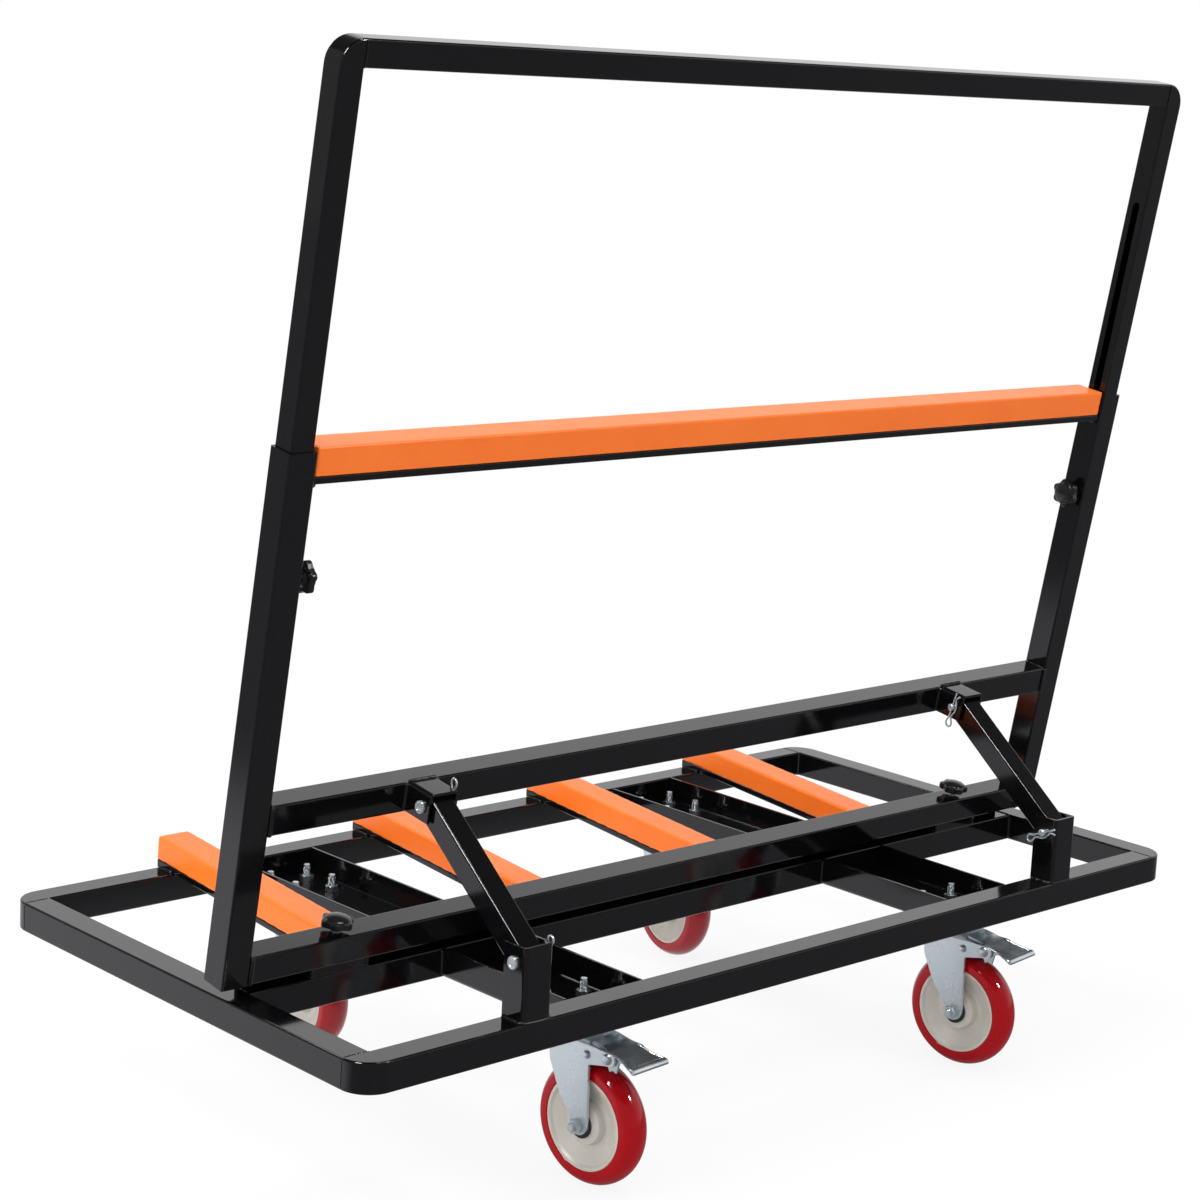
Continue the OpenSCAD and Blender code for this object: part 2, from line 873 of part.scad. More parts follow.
module axle(braked) {
    color(zinc) {
        translate([0, -trail, wheel_r])
            rotate([0, 90, 0]) {
                translate([0, 0, -fork_w / 2 - 12])
                    cylinder(d = axle_d, h = fork_w + 13);
                translate([0, 0, -fork_w / 2 - 8])
                    cylinder(d = 1.7 * axle_d / cos(30), h = 8, $fn = 6);
                translate([0, 0, fork_w / 2])
                    cylinder(d = 1.7 * axle_d / cos(30), h = 6, $fn = 6);
                for (s = [-1, 1])
                    translate([0, 0, s * (leg_in + wheel_w / 2 + face_gap) / 2])
                        cylinder(d = washer_d, h = leg_in - wheel_w / 2 - face_gap, center = true);
            }
        if (braked)
            translate([0, pivot_y, pivot_z])
                rotate([0, 90, 0]) {
                    cylinder(d = rivet_d, h = fork_w + 2, center = true);
                    for (s = [-1, 1])
                        translate([0, 0, s * (fork_w / 2 + 0.75)])
                            cylinder(d = rivet_d + 3, h = 1.5, center = true);
                }
    }
}

module on_axle() {
    translate([0, -trail, wheel_r])
        rotate([0, 90, 0])
            children();
}

module hub() {
    w = wheel_w / 2;
    b = axle_d / 2 + run;
    color(beige)
        on_axle()
            rotate_extrude()
                polygon([[b, -w], [b + 7, -w], [b + 7, 2 - w], [b + 15, 3 - w], [b + 16, 7 - w],
                    [hub_r - 8, 7 - w], [hub_r - 4, 1 - w], [hub_r, 1 - w],
                    [hub_r, w - 1], [hub_r - 4, w - 1], [hub_r - 8, w - 7],
                    [b + 16, w - 7], [b + 15, w - 3], [b + 7, w - 2], [b + 7, w], [b, w]]);
}

// Crowned tread: flat flanks and a round running face
module tread() {
    drop = 8;
    crown_r = (pow(wheel_w / 2, 2) + drop * drop) / (2 * drop);
    color(red)
        on_axle()
            rotate_extrude()
                intersection() {
                    translate([hub_r, -wheel_w / 2])
                        square([wheel_r - hub_r, wheel_w]);
                    translate([wheel_r - crown_r, 0])
                        circle(crown_r, $fn = 128);
                }
}

// Brake pedal: bent foot plate, two cheeks on the pivot rivet and a shoe that meets the tread
module pedal() {
    cheek_t = 2.5;
    shoe_w = 2 * (leg_in - face_gap - cheek_t) + 2.6;
    shoe_a = 12;
    tip_r = wheel_r + 5;
    aim = atan2(pivot_z - wheel_r, pivot_y + trail) + shoe_a;
    tip = [-trail + tip_r * cos(aim), wheel_r + tip_r * sin(aim)];
    shoe_l = norm([tip[0] - pivot_y, tip[1] - pivot_z]);
    shoe_t = atan2(tip[1] - pivot_z, tip[0] - pivot_y);
    color(zinc)
        difference() {
            union() {
                intersection() {
                    translate([-pedal_w / 2, 0, 0])
                        rotate([90, 0, 90])
                            linear_extrude(pedal_w)
                                polygon([[-40, crown_top], [-50, crown_top - 1], [pivot_y - 5, crown_top - 3.5],
                                    [4 - pedal_reach, crown_top - 12], [-pedal_reach, crown_top - 13.5],
                                    [-pedal_reach, crown_top - 17], [3 - pedal_reach, crown_top - 17],
                                    [5 - pedal_reach, crown_top - 15], [pivot_y - 5, crown_top - 6],
                                    [-50, crown_top - 3.5], [-40, crown_top - 2.5]]);
                    translate([0, 0, crown_top - 30])
                        linear_extrude(40)
                            polygon([[-pedal_neck_w / 2, 0], [-pedal_neck_w / 2, 18 - pedal_reach],
                                [-pedal_w / 2, 9 - pedal_reach], [-pedal_w / 2, -pedal_reach - 1],
                                [pedal_w / 2, -pedal_reach - 1], [pedal_w / 2, 9 - pedal_reach],
                                [pedal_neck_w / 2, 18 - pedal_reach], [pedal_neck_w / 2, 0]]);
                }
                for (s = [-1, 1])
                    translate([s * (leg_in - face_gap - cheek_t / 2) - cheek_t / 2, 0, 0])
                        rotate([90, 0, 90])
                            linear_extrude(cheek_t) {
                                translate([pivot_y, pivot_z])
                                    circle(rivet_d / 2 + 3);
                                polygon([[pivot_y + 5.5, pivot_z - 1], [-46, crown_top - 1.9],
                                    [pivot_y - 5, crown_top - 4.7], [pivot_y - 19, crown_top - 9],
                                    [pivot_y - 15, crown_top - 20], [pivot_y - 3, pivot_z - 5.5]]);
                            }
                translate([-shoe_w / 2, pivot_y, pivot_z])
                    rotate([90, 0, 90])
                        rotate(shoe_t)
                            linear_extrude(shoe_w)
                                translate([rivet_d / 2 + 1.4, -1.8])
                                    square([shoe_l - rivet_d / 2 - 1.4, 4]);
            }
            translate([-fork_w, pivot_y, pivot_z])
                rotate([0, 90, 0])
                    cylinder(d = rivet_d + 2 * run, h = 2 * fork_w);
        }
}

module near_left_fork() { at_caster(-1, near_y, yaw_nl) fork(true); }
module near_left_axle() { at_caster(-1, near_y, yaw_nl) axle(true); }
module near_left_hub() { at_caster(-1, near_y, yaw_nl) hub(); }
module near_left_tread() { at_caster(-1, near_y, yaw_nl) tread(); }
module near_right_fork() { at_caster(1, near_y, yaw_nr) fork(true); }
module near_right_axle() { at_caster(1, near_y, yaw_nr) axle(true); }
module near_right_hub() { at_caster(1, near_y, yaw_nr) hub(); }
module near_right_tread() { at_caster(1, near_y, yaw_nr) tread(); }
module far_left_fork() { at_caster(-1, far_y, yaw_fl) fork(false); }
module far_left_axle() { at_caster(-1, far_y, yaw_fl) axle(false); }
module far_left_hub() { at_caster(-1, far_y, yaw_fl) hub(); }
module far_left_tread() { at_caster(-1, far_y, yaw_fl) tread(); }
module far_right_fork() { at_caster(1, far_y, yaw_fr) fork(false); }
module far_right_axle() { at_caster(1, far_y, yaw_fr) axle(false); }
module far_right_hub() { at_caster(1, far_y, yaw_fr) hub(); }
module far_right_tread() { at_caster(1, far_y, yaw_fr) tread(); }
module left_pedal() { at_caster(-1, near_y, yaw_nl) pedal(); }
module right_pedal() { at_caster(1, near_y, yaw_nr) pedal(); }

near_rail();
far_rail();
left_end_rail();
right_end_rail();
mid_beam();
near_channels();
far_channels();
caster_plates();
caster_bolts();
caster_nuts();
deck_bars();
deck_pad_1();
deck_pad_2();
deck_pad_3();
deck_pad_4();
left_post();
right_post();
seat_blocks();
left_upright();
right_upright();
lower_rail();
middle_rail();
left_bracket();
right_bracket();
backrest_bar();
backrest_pad();
knob_nuts();
left_strut();
right_strut();
strut_pins();
left_lower_clip();
left_upper_clip();
right_lower_clip();
right_upper_clip();
left_slide_tube();
right_slide_tube();
top_bar();
left_height_knob();
right_height_knob();
left_base_knob();
right_base_knob();
near_left_fork();
near_left_axle();
near_left_hub();
near_left_tread();
near_right_fork();
near_right_axle();
near_right_hub();
near_right_tread();
far_left_fork();
far_left_axle();
far_left_hub();
far_left_tread();
far_right_fork();
far_right_axle();
far_right_hub();
far_right_tread();
left_pedal();
right_pedal();
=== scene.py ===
import json
import math
import bpy
import bmesh
from mathutils import Matrix, Vector


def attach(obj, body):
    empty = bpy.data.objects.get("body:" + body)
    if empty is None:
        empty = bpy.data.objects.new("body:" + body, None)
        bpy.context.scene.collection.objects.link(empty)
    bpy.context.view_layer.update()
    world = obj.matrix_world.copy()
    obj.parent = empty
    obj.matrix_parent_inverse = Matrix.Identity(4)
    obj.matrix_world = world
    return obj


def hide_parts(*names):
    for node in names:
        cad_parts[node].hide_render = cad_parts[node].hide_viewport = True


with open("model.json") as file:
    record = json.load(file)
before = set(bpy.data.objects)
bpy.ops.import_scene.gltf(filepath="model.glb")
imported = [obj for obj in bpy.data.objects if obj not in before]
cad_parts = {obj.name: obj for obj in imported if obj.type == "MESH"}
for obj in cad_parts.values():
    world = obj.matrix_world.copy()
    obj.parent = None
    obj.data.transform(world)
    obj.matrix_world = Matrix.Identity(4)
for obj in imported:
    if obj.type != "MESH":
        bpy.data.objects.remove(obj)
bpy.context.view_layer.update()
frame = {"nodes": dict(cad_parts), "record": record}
scene = bpy.context.scene
scene.view_settings.view_transform = "Standard"
mm = 0.001

# camera, at the place the photograph was taken from
view = {"place": (-1951.728, -2007.98, 1048.845), "yaw": 43.482, "pitch": -10.351, "roll": 2.957,
        "focal": 2696.795, "middle": (620.899, 564.234), "frame": 1200, "sensor": 36, "reach": 60}
turn = [math.radians(view[k]) for k in ("yaw", "pitch", "roll")]
bpy.ops.object.camera_add()
camera = bpy.context.object
camera.data.sensor_width = view["sensor"]
camera.data.lens = view["sensor"] * view["focal"] / view["frame"]
camera.data.shift_x = 0.5 - view["middle"][0] / view["frame"]
camera.data.shift_y = view["middle"][1] / view["frame"] - 0.5
camera.data.clip_end = view["reach"]
camera.matrix_world = (Matrix.Translation(Vector(view["place"]) * mm) @ Matrix.Rotation(-turn[0], 4, "Z")
                       @ Matrix.Rotation(math.pi / 2 + turn[1], 4, "X") @ Matrix.Rotation(turn[2], 4, "Z"))
scene.camera = camera
print("camera set")


# finishes
def linear(code):  # sRGB hex to a linear colour
    parts = [int(code[i:i + 2], 16) / 255 for i in (1, 3, 5)]
    return [c / 12.92 if c <= 0.04045 else ((c + 0.055) / 1.055) ** 2.4 for c in parts] + [1]


def add(tree, kind, settings, links=None):  # one node with its settings and what feeds it
    node = tree.nodes.new("ShaderNode" + kind)
    for key, value in settings.items():
        if isinstance(key, int) or key in node.inputs:
            node.inputs[key].default_value = value
        else:
            setattr(node, key, value)
    for key, source in (links or {}).items():
        tree.links.new(source, node.inputs[key])
    return node


def newFinish(name):
    finish = bpy.data.materials.new(name)
    finish.use_nodes = True
    finish.node_tree.nodes.clear()
    spot = add(finish.node_tree, "TexCoord", {}).outputs["Object"]
    return finish, finish.node_tree, spot


def size(millimetres):  # texture scale for a pattern of that size
    return 1000 / millimetres


def blackCoat():
    # gloss powder coat over steel tube: near black, sharp reflections broken by a fine orange peel
    finish, tree, spot = newFinish("blackPowderCoat")
    peel = add(tree, "TexNoise", {"Scale": size(2.2), "Detail": 2.0, "Roughness": 0.45}, {"Vector": spot})
    patch = add(tree, "TexNoise", {"Scale": size(70), "Detail": 3.0}, {"Vector": spot})
    dust = add(tree, "TexNoise", {"Scale": size(0.9), "Detail": 1.0}, {"Vector": spot})
    tone = add(tree, "Mix", {"data_type": "RGBA", 6: linear("#060607"), 7: linear("#0b0b0d")},
               {0: patch.outputs["Fac"]})
    specks = add(tree, "MapRange", {"From Min": 0.74, "From Max": 0.82, "To Max": 0.5}, {"Value": dust.outputs["Fac"]})
    base = add(tree, "Mix", {"data_type": "RGBA", 7: linear("#2a2a2d")},
               {0: specks.outputs[0], 6: tone.outputs[2]})
    rough = add(tree, "MapRange", {"From Min": 0.3, "From Max": 0.7, "To Min": 0.06, "To Max": 0.11},
                {"Value": patch.outputs["Fac"]})
    bump = add(tree, "Bump", {"Strength": 0.02, "Distance": 0.0006}, {"Height": peel.outputs["Fac"]})
    shader = add(tree, "BsdfPrincipled", {"IOR": 1.5},
                 {"Base Color": base.outputs[2], "Roughness": rough.outputs[0], "Normal": bump.outputs[0]})
    add(tree, "OutputMaterial", {}, {"Surface": shader.outputs[0]})
    return finish


def zincPlate(name, metal):
    # bright zinc plate on pressed steel: cool silver with soft cloudy patches
    finish, tree, spot = newFinish(name)
    cloud = add(tree, "TexNoise", {"Scale": size(26), "Detail": 2.0, "Roughness": 0.5}, {"Vector": spot})
    tone = add(tree, "Mix", {"data_type": "RGBA", 6: linear("#c0cbd0"), 7: linear("#d6dde0")},
               {0: cloud.outputs["Fac"]})
    rough = add(tree, "MapRange", {"From Min": 0.3, "From Max": 0.7, "To Min": 0.2, "To Max": 0.3},
                {"Value": cloud.outputs["Fac"]})
    shader = add(tree, "BsdfPrincipled", {"Metallic": metal},
                 {"Base Color": tone.outputs[2], "Roughness": rough.outputs[0]})
    add(tree, "OutputMaterial", {}, {"Surface": shader.outputs[0]})
    return finish


def orangeFoam():
    # closed-cell foam with its own skin: strong orange, fine cells, a soft sheen on the lit top
    finish, tree, spot = newFinish("orangeFoamSkin")
    cells = add(tree, "TexVoronoi", {"Scale": size(1.1)}, {"Vector": spot})
    fleck = add(tree, "TexNoise", {"Scale": size(1.4), "Detail": 2.0, "Roughness": 0.6}, {"Vector": spot})
    patch = add(tree, "TexNoise", {"Scale": size(60), "Detail": 3.0}, {"Vector": spot})
    tone = add(tree, "Mix", {"data_type": "RGBA", 6: linear("#f46c17"), 7: linear("#fb7a22")},
               {0: patch.outputs["Fac"]})
    spots = add(tree, "MapRange", {"From Min": 0.6, "From Max": 0.72, "To Max": 0.32}, {"Value": fleck.outputs["Fac"]})
    base = add(tree, "Mix", {"data_type": "RGBA", 7: linear("#df5a18")}, {0: spots.outputs[0], 6: tone.outputs[2]})
    rough = add(tree, "MapRange", {"From Min": 0.3, "From Max": 0.7, "To Min": 0.3, "To Max": 0.42},
                {"Value": fleck.outputs["Fac"]})
    bump = add(tree, "Bump", {"Strength": 0.18, "Distance": 0.0004}, {"Height": cells.outputs["Distance"]})
    shader = add(tree, "BsdfPrincipled", {"IOR": 1.6, "Specular Tint": linear("#ffe2c0"), "Sheen Weight": 0.1,
                                          "Sheen Roughness": 0.3, "Sheen Tint": linear("#ffe2c0")},
                 {"Base Color": base.outputs[2], "Roughness": rough.outputs[0], "Normal": bump.outputs[0]})
    add(tree, "OutputMaterial", {}, {"Surface": shader.outputs[0]})
    return finish


def redTyre():
    # cast polyurethane tyre: deep red, wet gloss, faint mould cloudiness
    finish, tree, spot = newFinish("redPolyurethane")
    cloud = add(tree, "TexNoise", {"Scale": size(22), "Detail": 3.0}, {"Vector": spot})
    grain = add(tree, "TexNoise", {"Scale": size(1.6), "Detail": 2.0}, {"Vector": spot})
    tone = add(tree, "Mix", {"data_type": "RGBA", 6: linear("#93040c"), 7: linear("#a60a14")},
               {0: cloud.outputs["Fac"]})
    rough = add(tree, "MapRange", {"From Min": 0.3, "From Max": 0.7, "To Min": 0.07, "To Max": 0.12},
                {"Value": cloud.outputs["Fac"]})
    bump = add(tree, "Bump", {"Strength": 0.04, "Distance": 0.0005}, {"Height": grain.outputs["Fac"]})
    shader = add(tree, "BsdfPrincipled", {"IOR": 1.43},
                 {"Base Color": tone.outputs[2], "Roughness": rough.outputs[0], "Normal": bump.outputs[0]})
    add(tree, "OutputMaterial", {}, {"Surface": shader.outputs[0]})
    return finish


def greyNylon():
    # moulded nylon wheel centre: warm grey, satin, flow clouds
    finish, tree, spot = newFinish("greyMouldedNylon")
    flow = add(tree, "TexNoise", {"Scale": size(18), "Detail": 4.0, "Distortion": 0.6}, {"Vector": spot})
    grain = add(tree, "TexNoise", {"Scale": size(0.9), "Detail": 2.0}, {"Vector": spot})
    tone = add(tree, "Mix", {"data_type": "RGBA", 6: linear("#b3aea4"), 7: linear("#c5c2b8")},
               {0: flow.outputs["Fac"]})
    rough = add(tree, "MapRange", {"From Min": 0.3, "From Max": 0.7, "To Min": 0.36, "To Max": 0.48},
                {"Value": grain.outputs["Fac"]})
    bump = add(tree, "Bump", {"Strength": 0.07, "Distance": 0.0004}, {"Height": grain.outputs["Fac"]})
    shader = add(tree, "BsdfPrincipled", {"IOR": 1.53},
                 {"Base Color": tone.outputs[2], "Roughness": rough.outputs[0], "Normal": bump.outputs[0]})
    add(tree, "OutputMaterial", {}, {"Surface": shader.outputs[0]})
    return finish


def knobPlastic():
    # moulded black plastic: glossy, slight mould grain
    finish, tree, spot = newFinish("blackMouldedPlastic")
    grain = add(tree, "TexNoise", {"Scale": size(1.2), "Detail": 3.0}, {"Vector": spot})
    tone = add(tree, "Mix", {"data_type": "RGBA", 6: linear("#0b0b0c"), 7: linear("#161617")},
               {0: grain.outputs["Fac"]})
    rough = add(tree, "MapRange", {"From Min": 0.3, "From Max": 0.7, "To Min": 0.17, "To Max": 0.28},
                {"Value": grain.outputs["Fac"]})
    bump = add(tree, "Bump", {"Strength": 0.05, "Distance": 0.0004}, {"Height": grain.outputs["Fac"]})
    shader = add(tree, "BsdfPrincipled", {"IOR": 1.49},
                 {"Base Color": tone.outputs[2], "Roughness": rough.outputs[0], "Normal": bump.outputs[0]})
    add(tree, "OutputMaterial", {}, {"Surface": shader.outputs[0]})
    return finish


def darkSeal():
    # moulded rubber dust seal: dull charcoal
    finish, tree, spot = newFinish("darkRubberSeal")
    grain = add(tree, "TexNoise", {"Scale": size(1.0), "Detail": 3.0}, {"Vector": spot})
    tone = add(tree, "Mix", {"data_type": "RGBA", 6: linear("#17171a"), 7: linear("#28282b")},
               {0: grain.outputs["Fac"]})
    bump = add(tree, "Bump", {"Strength": 0.12, "Distance": 0.0004}, {"Height": grain.outputs["Fac"]})
    shader = add(tree, "BsdfPrincipled", {"IOR": 1.5, "Roughness": 0.55},
                 {"Base Color": tone.outputs[2], "Normal": bump.outputs[0]})
    add(tree, "OutputMaterial", {}, {"Surface": shader.outputs[0]})
    return finish


finishes = {"black_coat": blackCoat(), "zinc_plate": zincPlate("brightZincPlate", 0.74), "orange_pad": orangeFoam(),
            "red_tread": redTyre(), "hub_grey": greyNylon(), "knob_black": knobPlastic()}
sealFinish, clearZinc = darkSeal(), zincPlate("clearZincPlate", 1.0)
for part in frame["record"]["subparts"]:  # the CAD nodes take the real finishes
    for place in frame["nodes"][part["node"]].material_slots:
        place.material = finishes[part["material_slot"]]
print("finishes made")


# hand tools
def clearPick():
    if bpy.context.mode != "OBJECT":
        bpy.ops.object.mode_set(mode="OBJECT")
    bpy.ops.object.select_all(action="DESELECT")


def only(piece):
    clearPick()
    piece.select_set(True)
    bpy.context.view_layer.objects.active = piece
    return piece


def drawLine(name, points):  # one vertex drawn out from point to point, left in edit mode
    clearPick()
    bpy.ops.mesh.primitive_plane_add(size=mm)
    piece = bpy.context.object
    piece.name = piece.data.name = name
    bpy.ops.object.mode_set(mode="EDIT")
    bpy.ops.mesh.select_mode(type="VERT")
    bpy.ops.mesh.select_all(action="SELECT")
    bpy.ops.mesh.merge(type="CENTER")
    points = [Vector(p) * mm for p in points]
    bpy.ops.transform.translate(value=points[0])
    for before, after in zip(points, points[1:]):
        bpy.ops.mesh.extrude_region_move(TRANSFORM_OT_translate={"value": after - before})
    bpy.ops.mesh.select_all(action="SELECT")
    return piece


def smooth(piece, angle=40):
    only(piece)
    bpy.ops.object.shade_smooth_by_angle(angle=math.radians(angle))
    bpy.ops.object.modifier_add(type="WEIGHTED_NORMAL")
    piece.modifiers[-1].keep_sharp = True
    bpy.ops.object.modifier_apply(modifier=piece.modifiers[-1].name)
    return piece


def soften(piece, width, steps=3, angle=30):  # rounds every sharp edge
    only(piece)
    bpy.ops.object.modifier_add(type="BEVEL")
    edge = piece.modifiers[-1]
    edge.width = width * mm
    edge.segments = steps
    edge.limit_method = "ANGLE"
    edge.angle_limit = math.radians(angle)
    bpy.ops.object.modifier_apply(modifier=edge.name)
    return smooth(piece)


def slab(name, outline, depth, edge=0.0, steps=3):  # a filled outline drawn out to a thickness
    piece = drawLine(name, outline)
    bpy.ops.mesh.edge_face_add()
    bpy.ops.mesh.extrude_region_move(TRANSFORM_OT_translate={"value": Vector(depth) * mm})
    bpy.ops.mesh.select_all(action="SELECT")
    bpy.ops.mesh.normals_make_consistent(inside=False)
    bpy.ops.object.mode_set(mode="OBJECT")
    return soften(piece, edge, steps) if edge else smooth(piece)


def across(name, half, side, edge=0.0, steps=3):  # a side outline drawn out along X, evenly about the middle
    return slab(name, [(-half, y, z) for y, z in side], (2 * half, 0, 0), edge, steps)


def turned(name, profile, axis="Z", steps=48, angle=35):  # profile in pairs of height and radius
    along = Vector((1, 0, 0)) if axis == "X" else Vector((0, 0, 1))
    out = Vector((0, 0, 1)) if axis == "X" else Vector((1, 0, 0))
    piece = drawLine(name, [along * h + out * r for h, r in profile])
    bpy.ops.mesh.spin(steps=steps, angle=2 * math.pi, center=(0, 0, 0), axis=along)
    bpy.ops.mesh.select_all(action="SELECT")
    bpy.ops.mesh.remove_doubles(threshold=1e-6)
    bpy.ops.mesh.normals_make_consistent(inside=False)
    bpy.ops.object.mode_set(mode="OBJECT")
    return smooth(piece, angle)


def rounded(corners, steps=5):  # corners as x, y and an optional radius, to points of a closed outline
    points = []
    for i, corner in enumerate(corners):
        here = Vector(corner[:2])
        radius = corner[2] if len(corner) > 2 else 0
        if radius == 0:
            points.append(here)
            continue
        a = (Vector(corners[i - 1][:2]) - here).normalized()
        b = (Vector(corners[(i + 1) % len(corners)][:2]) - here).normalized()
        half = a.angle(b) / 2
        reach = radius / math.tan(half)
        middle = here + (a + b).normalized() * radius / math.sin(half)
        first, last = here + a * reach - middle, here + b * reach - middle
        sweep = first.angle_signed(last)
        for k in range(steps + 1):
            points.append(middle + Matrix.Rotation(-sweep * k / steps, 2) @ first)
    return points


def through(points, steps=5):  # smooth line through a few points
    ends = [points[0], *points, points[-1]]
    line = []
    for a, b, c, d in zip(ends, ends[1:], ends[2:], ends[3:]):
        a, b, c, d = (Vector(p) for p in (a, b, c, d))
        for k in range(steps):
            t = k / steps
            line.append(0.5 * (2 * b + (c - a) * t + (2 * a - 5 * b + 4 * c - d) * t * t
                               + (3 * b - a - 3 * c + d) * t ** 3))
    return line + [Vector(points[-1])]


def wireAlong(name, points, radius):  # round wire along a line of points
    wire = drawLine(name, points)
    bpy.ops.object.mode_set(mode="OBJECT")
    bpy.ops.object.convert(target="CURVE")
    wire.data.bevel_depth = radius * mm
    wire.data.bevel_resolution = 3
    wire.data.use_fill_caps = True
    bpy.ops.object.convert(target="MESH")
    return smooth(bpy.context.object, 50)


def cutTo(piece, cutter):  # keeps what lies inside the cutter
    only(piece)
    bpy.ops.object.modifier_add(type="BOOLEAN")
    cut = piece.modifiers[-1]
    cut.operation = "INTERSECT"
    cut.object = cutter
    bpy.ops.object.modifier_apply(modifier=cut.name)
    bpy.data.objects.remove(cutter)
    return piece


def settle(piece, matrix):
    only(piece)
    piece.matrix_world = matrix @ piece.matrix_world
    bpy.ops.object.transform_apply(location=True, rotation=True, scale=True)
    return piece


def copied(piece, name, matrix):
    only(piece)
    bpy.ops.object.duplicate()
    twin = bpy.context.object
    twin.name = twin.data.name = name
    return settle(twin, matrix)


def joined(name, pieces):
    clearPick()
    for piece in pieces:
        piece.select_set(True)
    bpy.context.view_layer.objects.active = pieces[0]
    if len(pieces) > 1:
        bpy.ops.object.join()
    pieces[0].name = pieces[0].data.name = name
    return pieces[0]


def finishIn(piece, finish):
    piece.data.materials.clear()
    piece.data.materials.append(finish)
    return piece


def fit(piece, body, slotName, *nodes):
    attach(piece, body)
    if nodes:
        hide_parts(*nodes)
    return piece


def move(x, y, z):
    return Matrix.Translation(Vector((x, y, z)) * mm)


def spinAbout(angle, axis):
    return Matrix.Rotation(math.radians(angle), 4, axis)


lean = {"foot": (0, -69.4077, 205), "angle": 9.15}
onBack = move(*lean["foot"]) @ spinAbout(lean["angle"], "X")  # across, depth, up the backrest
coat, zinc = finishes["black_coat"], finishes["zinc_plate"]


# deck pads
deckPad = {"wide": 37, "high": 25.5, "long": 344.2, "shoulder": 1.8, "places": (-387.75, -129.25, 129.25, 387.75),
           "far": (310.892, 205.571), "slope": 4.85, "waver": 0.3}
foam = {"cut": 0.6, "grid": 1.5, "wave": 0.022, "rest": 0.3}


def foamBlock(name, wide, high, long, shoulder):  # block along -Y, flat below, soft shoulders on top
    clearPick()
    bpy.ops.mesh.primitive_cube_add(size=1)
    piece = bpy.context.object
    piece.name = piece.data.name = name
    bpy.ops.object.mode_set(mode="EDIT")
    bpy.ops.mesh.select_all(action="SELECT")
    bpy.ops.transform.resize(value=(wide * mm, long * mm, high * mm))
    bpy.ops.transform.translate(value=(0, -long * mm / 2, high * mm / 2))
    bpy.ops.mesh.select_mode(type="EDGE")
    bpy.ops.mesh.select_all(action="DESELECT")
    mesh = bmesh.from_edit_mesh(piece.data)
    for edge in mesh.edges:  # the two long top edges
        edge.select_set(all(v.co.z > high * mm * 0.9 for v in edge.verts)
                        and abs(edge.verts[0].co.x - edge.verts[1].co.x) < mm)
    bmesh.update_edit_mesh(piece.data)
    bpy.ops.mesh.bevel(offset=shoulder * mm, segments=4, affect="EDGES")
    bpy.ops.object.mode_set(mode="OBJECT")
    return piece


def foamSkin(piece, waver):  # fine mesh, crisp cut edges, a slight waver in the skin
    soften(piece, foam["cut"], 2, 50)
    only(piece)
    bpy.ops.object.modifier_add(type="REMESH")
    grid = piece.modifiers[-1]
    grid.mode = "VOXEL"
    grid.voxel_size = foam["grid"] * mm
    bpy.ops.object.modifier_apply(modifier=grid.name)
    texture = bpy.data.textures.new(piece.name + "Waver", "CLOUDS")
    texture.noise_scale = foam["wave"]
    bpy.ops.object.modifier_add(type="DISPLACE")
    wave = piece.modifiers[-1]
    wave.texture = texture
    wave.texture_coords = "LOCAL"
    wave.strength = waver * mm
    wave.mid_level = foam["rest"]
    bpy.ops.object.modifier_apply(modifier=wave.name)
    bpy.ops.object.shade_smooth()
    return piece


padBlock = foamBlock("padBlock", deckPad["wide"], deckPad["high"], deckPad["long"], deckPad["shoulder"])
for i, x in enumerate(deckPad["places"]):
    pad = copied(padBlock, "deckPad%d" % (i + 1), move(x, *deckPad["far"]) @ spinAbout(deckPad["slope"], "X"))
    foamSkin(pad, deckPad["waver"])
    fit(finishIn(pad, finishes["orange_pad"]), "frame", "orange_pad", "deck_pad_%d" % (i + 1))
bpy.data.objects.remove(padBlock)
print("deck pads done")

# backrest pad
backPad = {"deep": 36, "high": 27, "long": 1110, "shoulder": 1.8, "set": 2, "top": 517, "waver": 0.3}
pad = foamBlock("backrestPad", backPad["high"], backPad["deep"], backPad["long"], backPad["shoulder"])
settle(pad, onBack @ move(-backPad["long"] / 2, backPad["set"], backPad["top"] - backPad["high"] / 2)
       @ spinAbout(90, "Z") @ spinAbout(90, "Y"))
foamSkin(pad, backPad["waver"])
fit(finishIn(pad, finishes["orange_pad"]), "frame", "orange_pad", "backrest_pad")
print("backrest pad done")

# caster channels, folded sheet with soft bends
channel = {"wide": 100, "high": 30, "sheet": 3, "bend": 5, "places": (-273.5, 273.5), "under": 166, "edge": 0.45,
           "near": (-245.108, 179), "far": (-36.108, 317)}


def folded(name, wide, high, sheet, bend, depth):  # U of folded sheet, open towards +Z, drawn out along Y
    w = wide / 2
    outline = rounded([(-w, high), (-w, 0, bend), (w, 0, bend), (w, high), (w - sheet, high),
                       (w - sheet, sheet, bend - sheet), (sheet - w, sheet, bend - sheet), (sheet - w, high)])
    return slab(name, [(x, 0, z) for x, z in outline], (0, depth, 0), channel["edge"])


for row in ("near", "far"):
    start, depth = channel[row]
    trough = folded("trough", channel["wide"], channel["high"], channel["sheet"], channel["bend"], depth)
    pair = [copied(trough, "troughCopy", move(x, start, channel["under"])) for x in channel["places"]]
    bpy.data.objects.remove(trough)
    piece = finishIn(joined(row + "Channels", pair), coat)
    fit(piece, "frame", "black_coat", row + "_channels")
print("channels done")

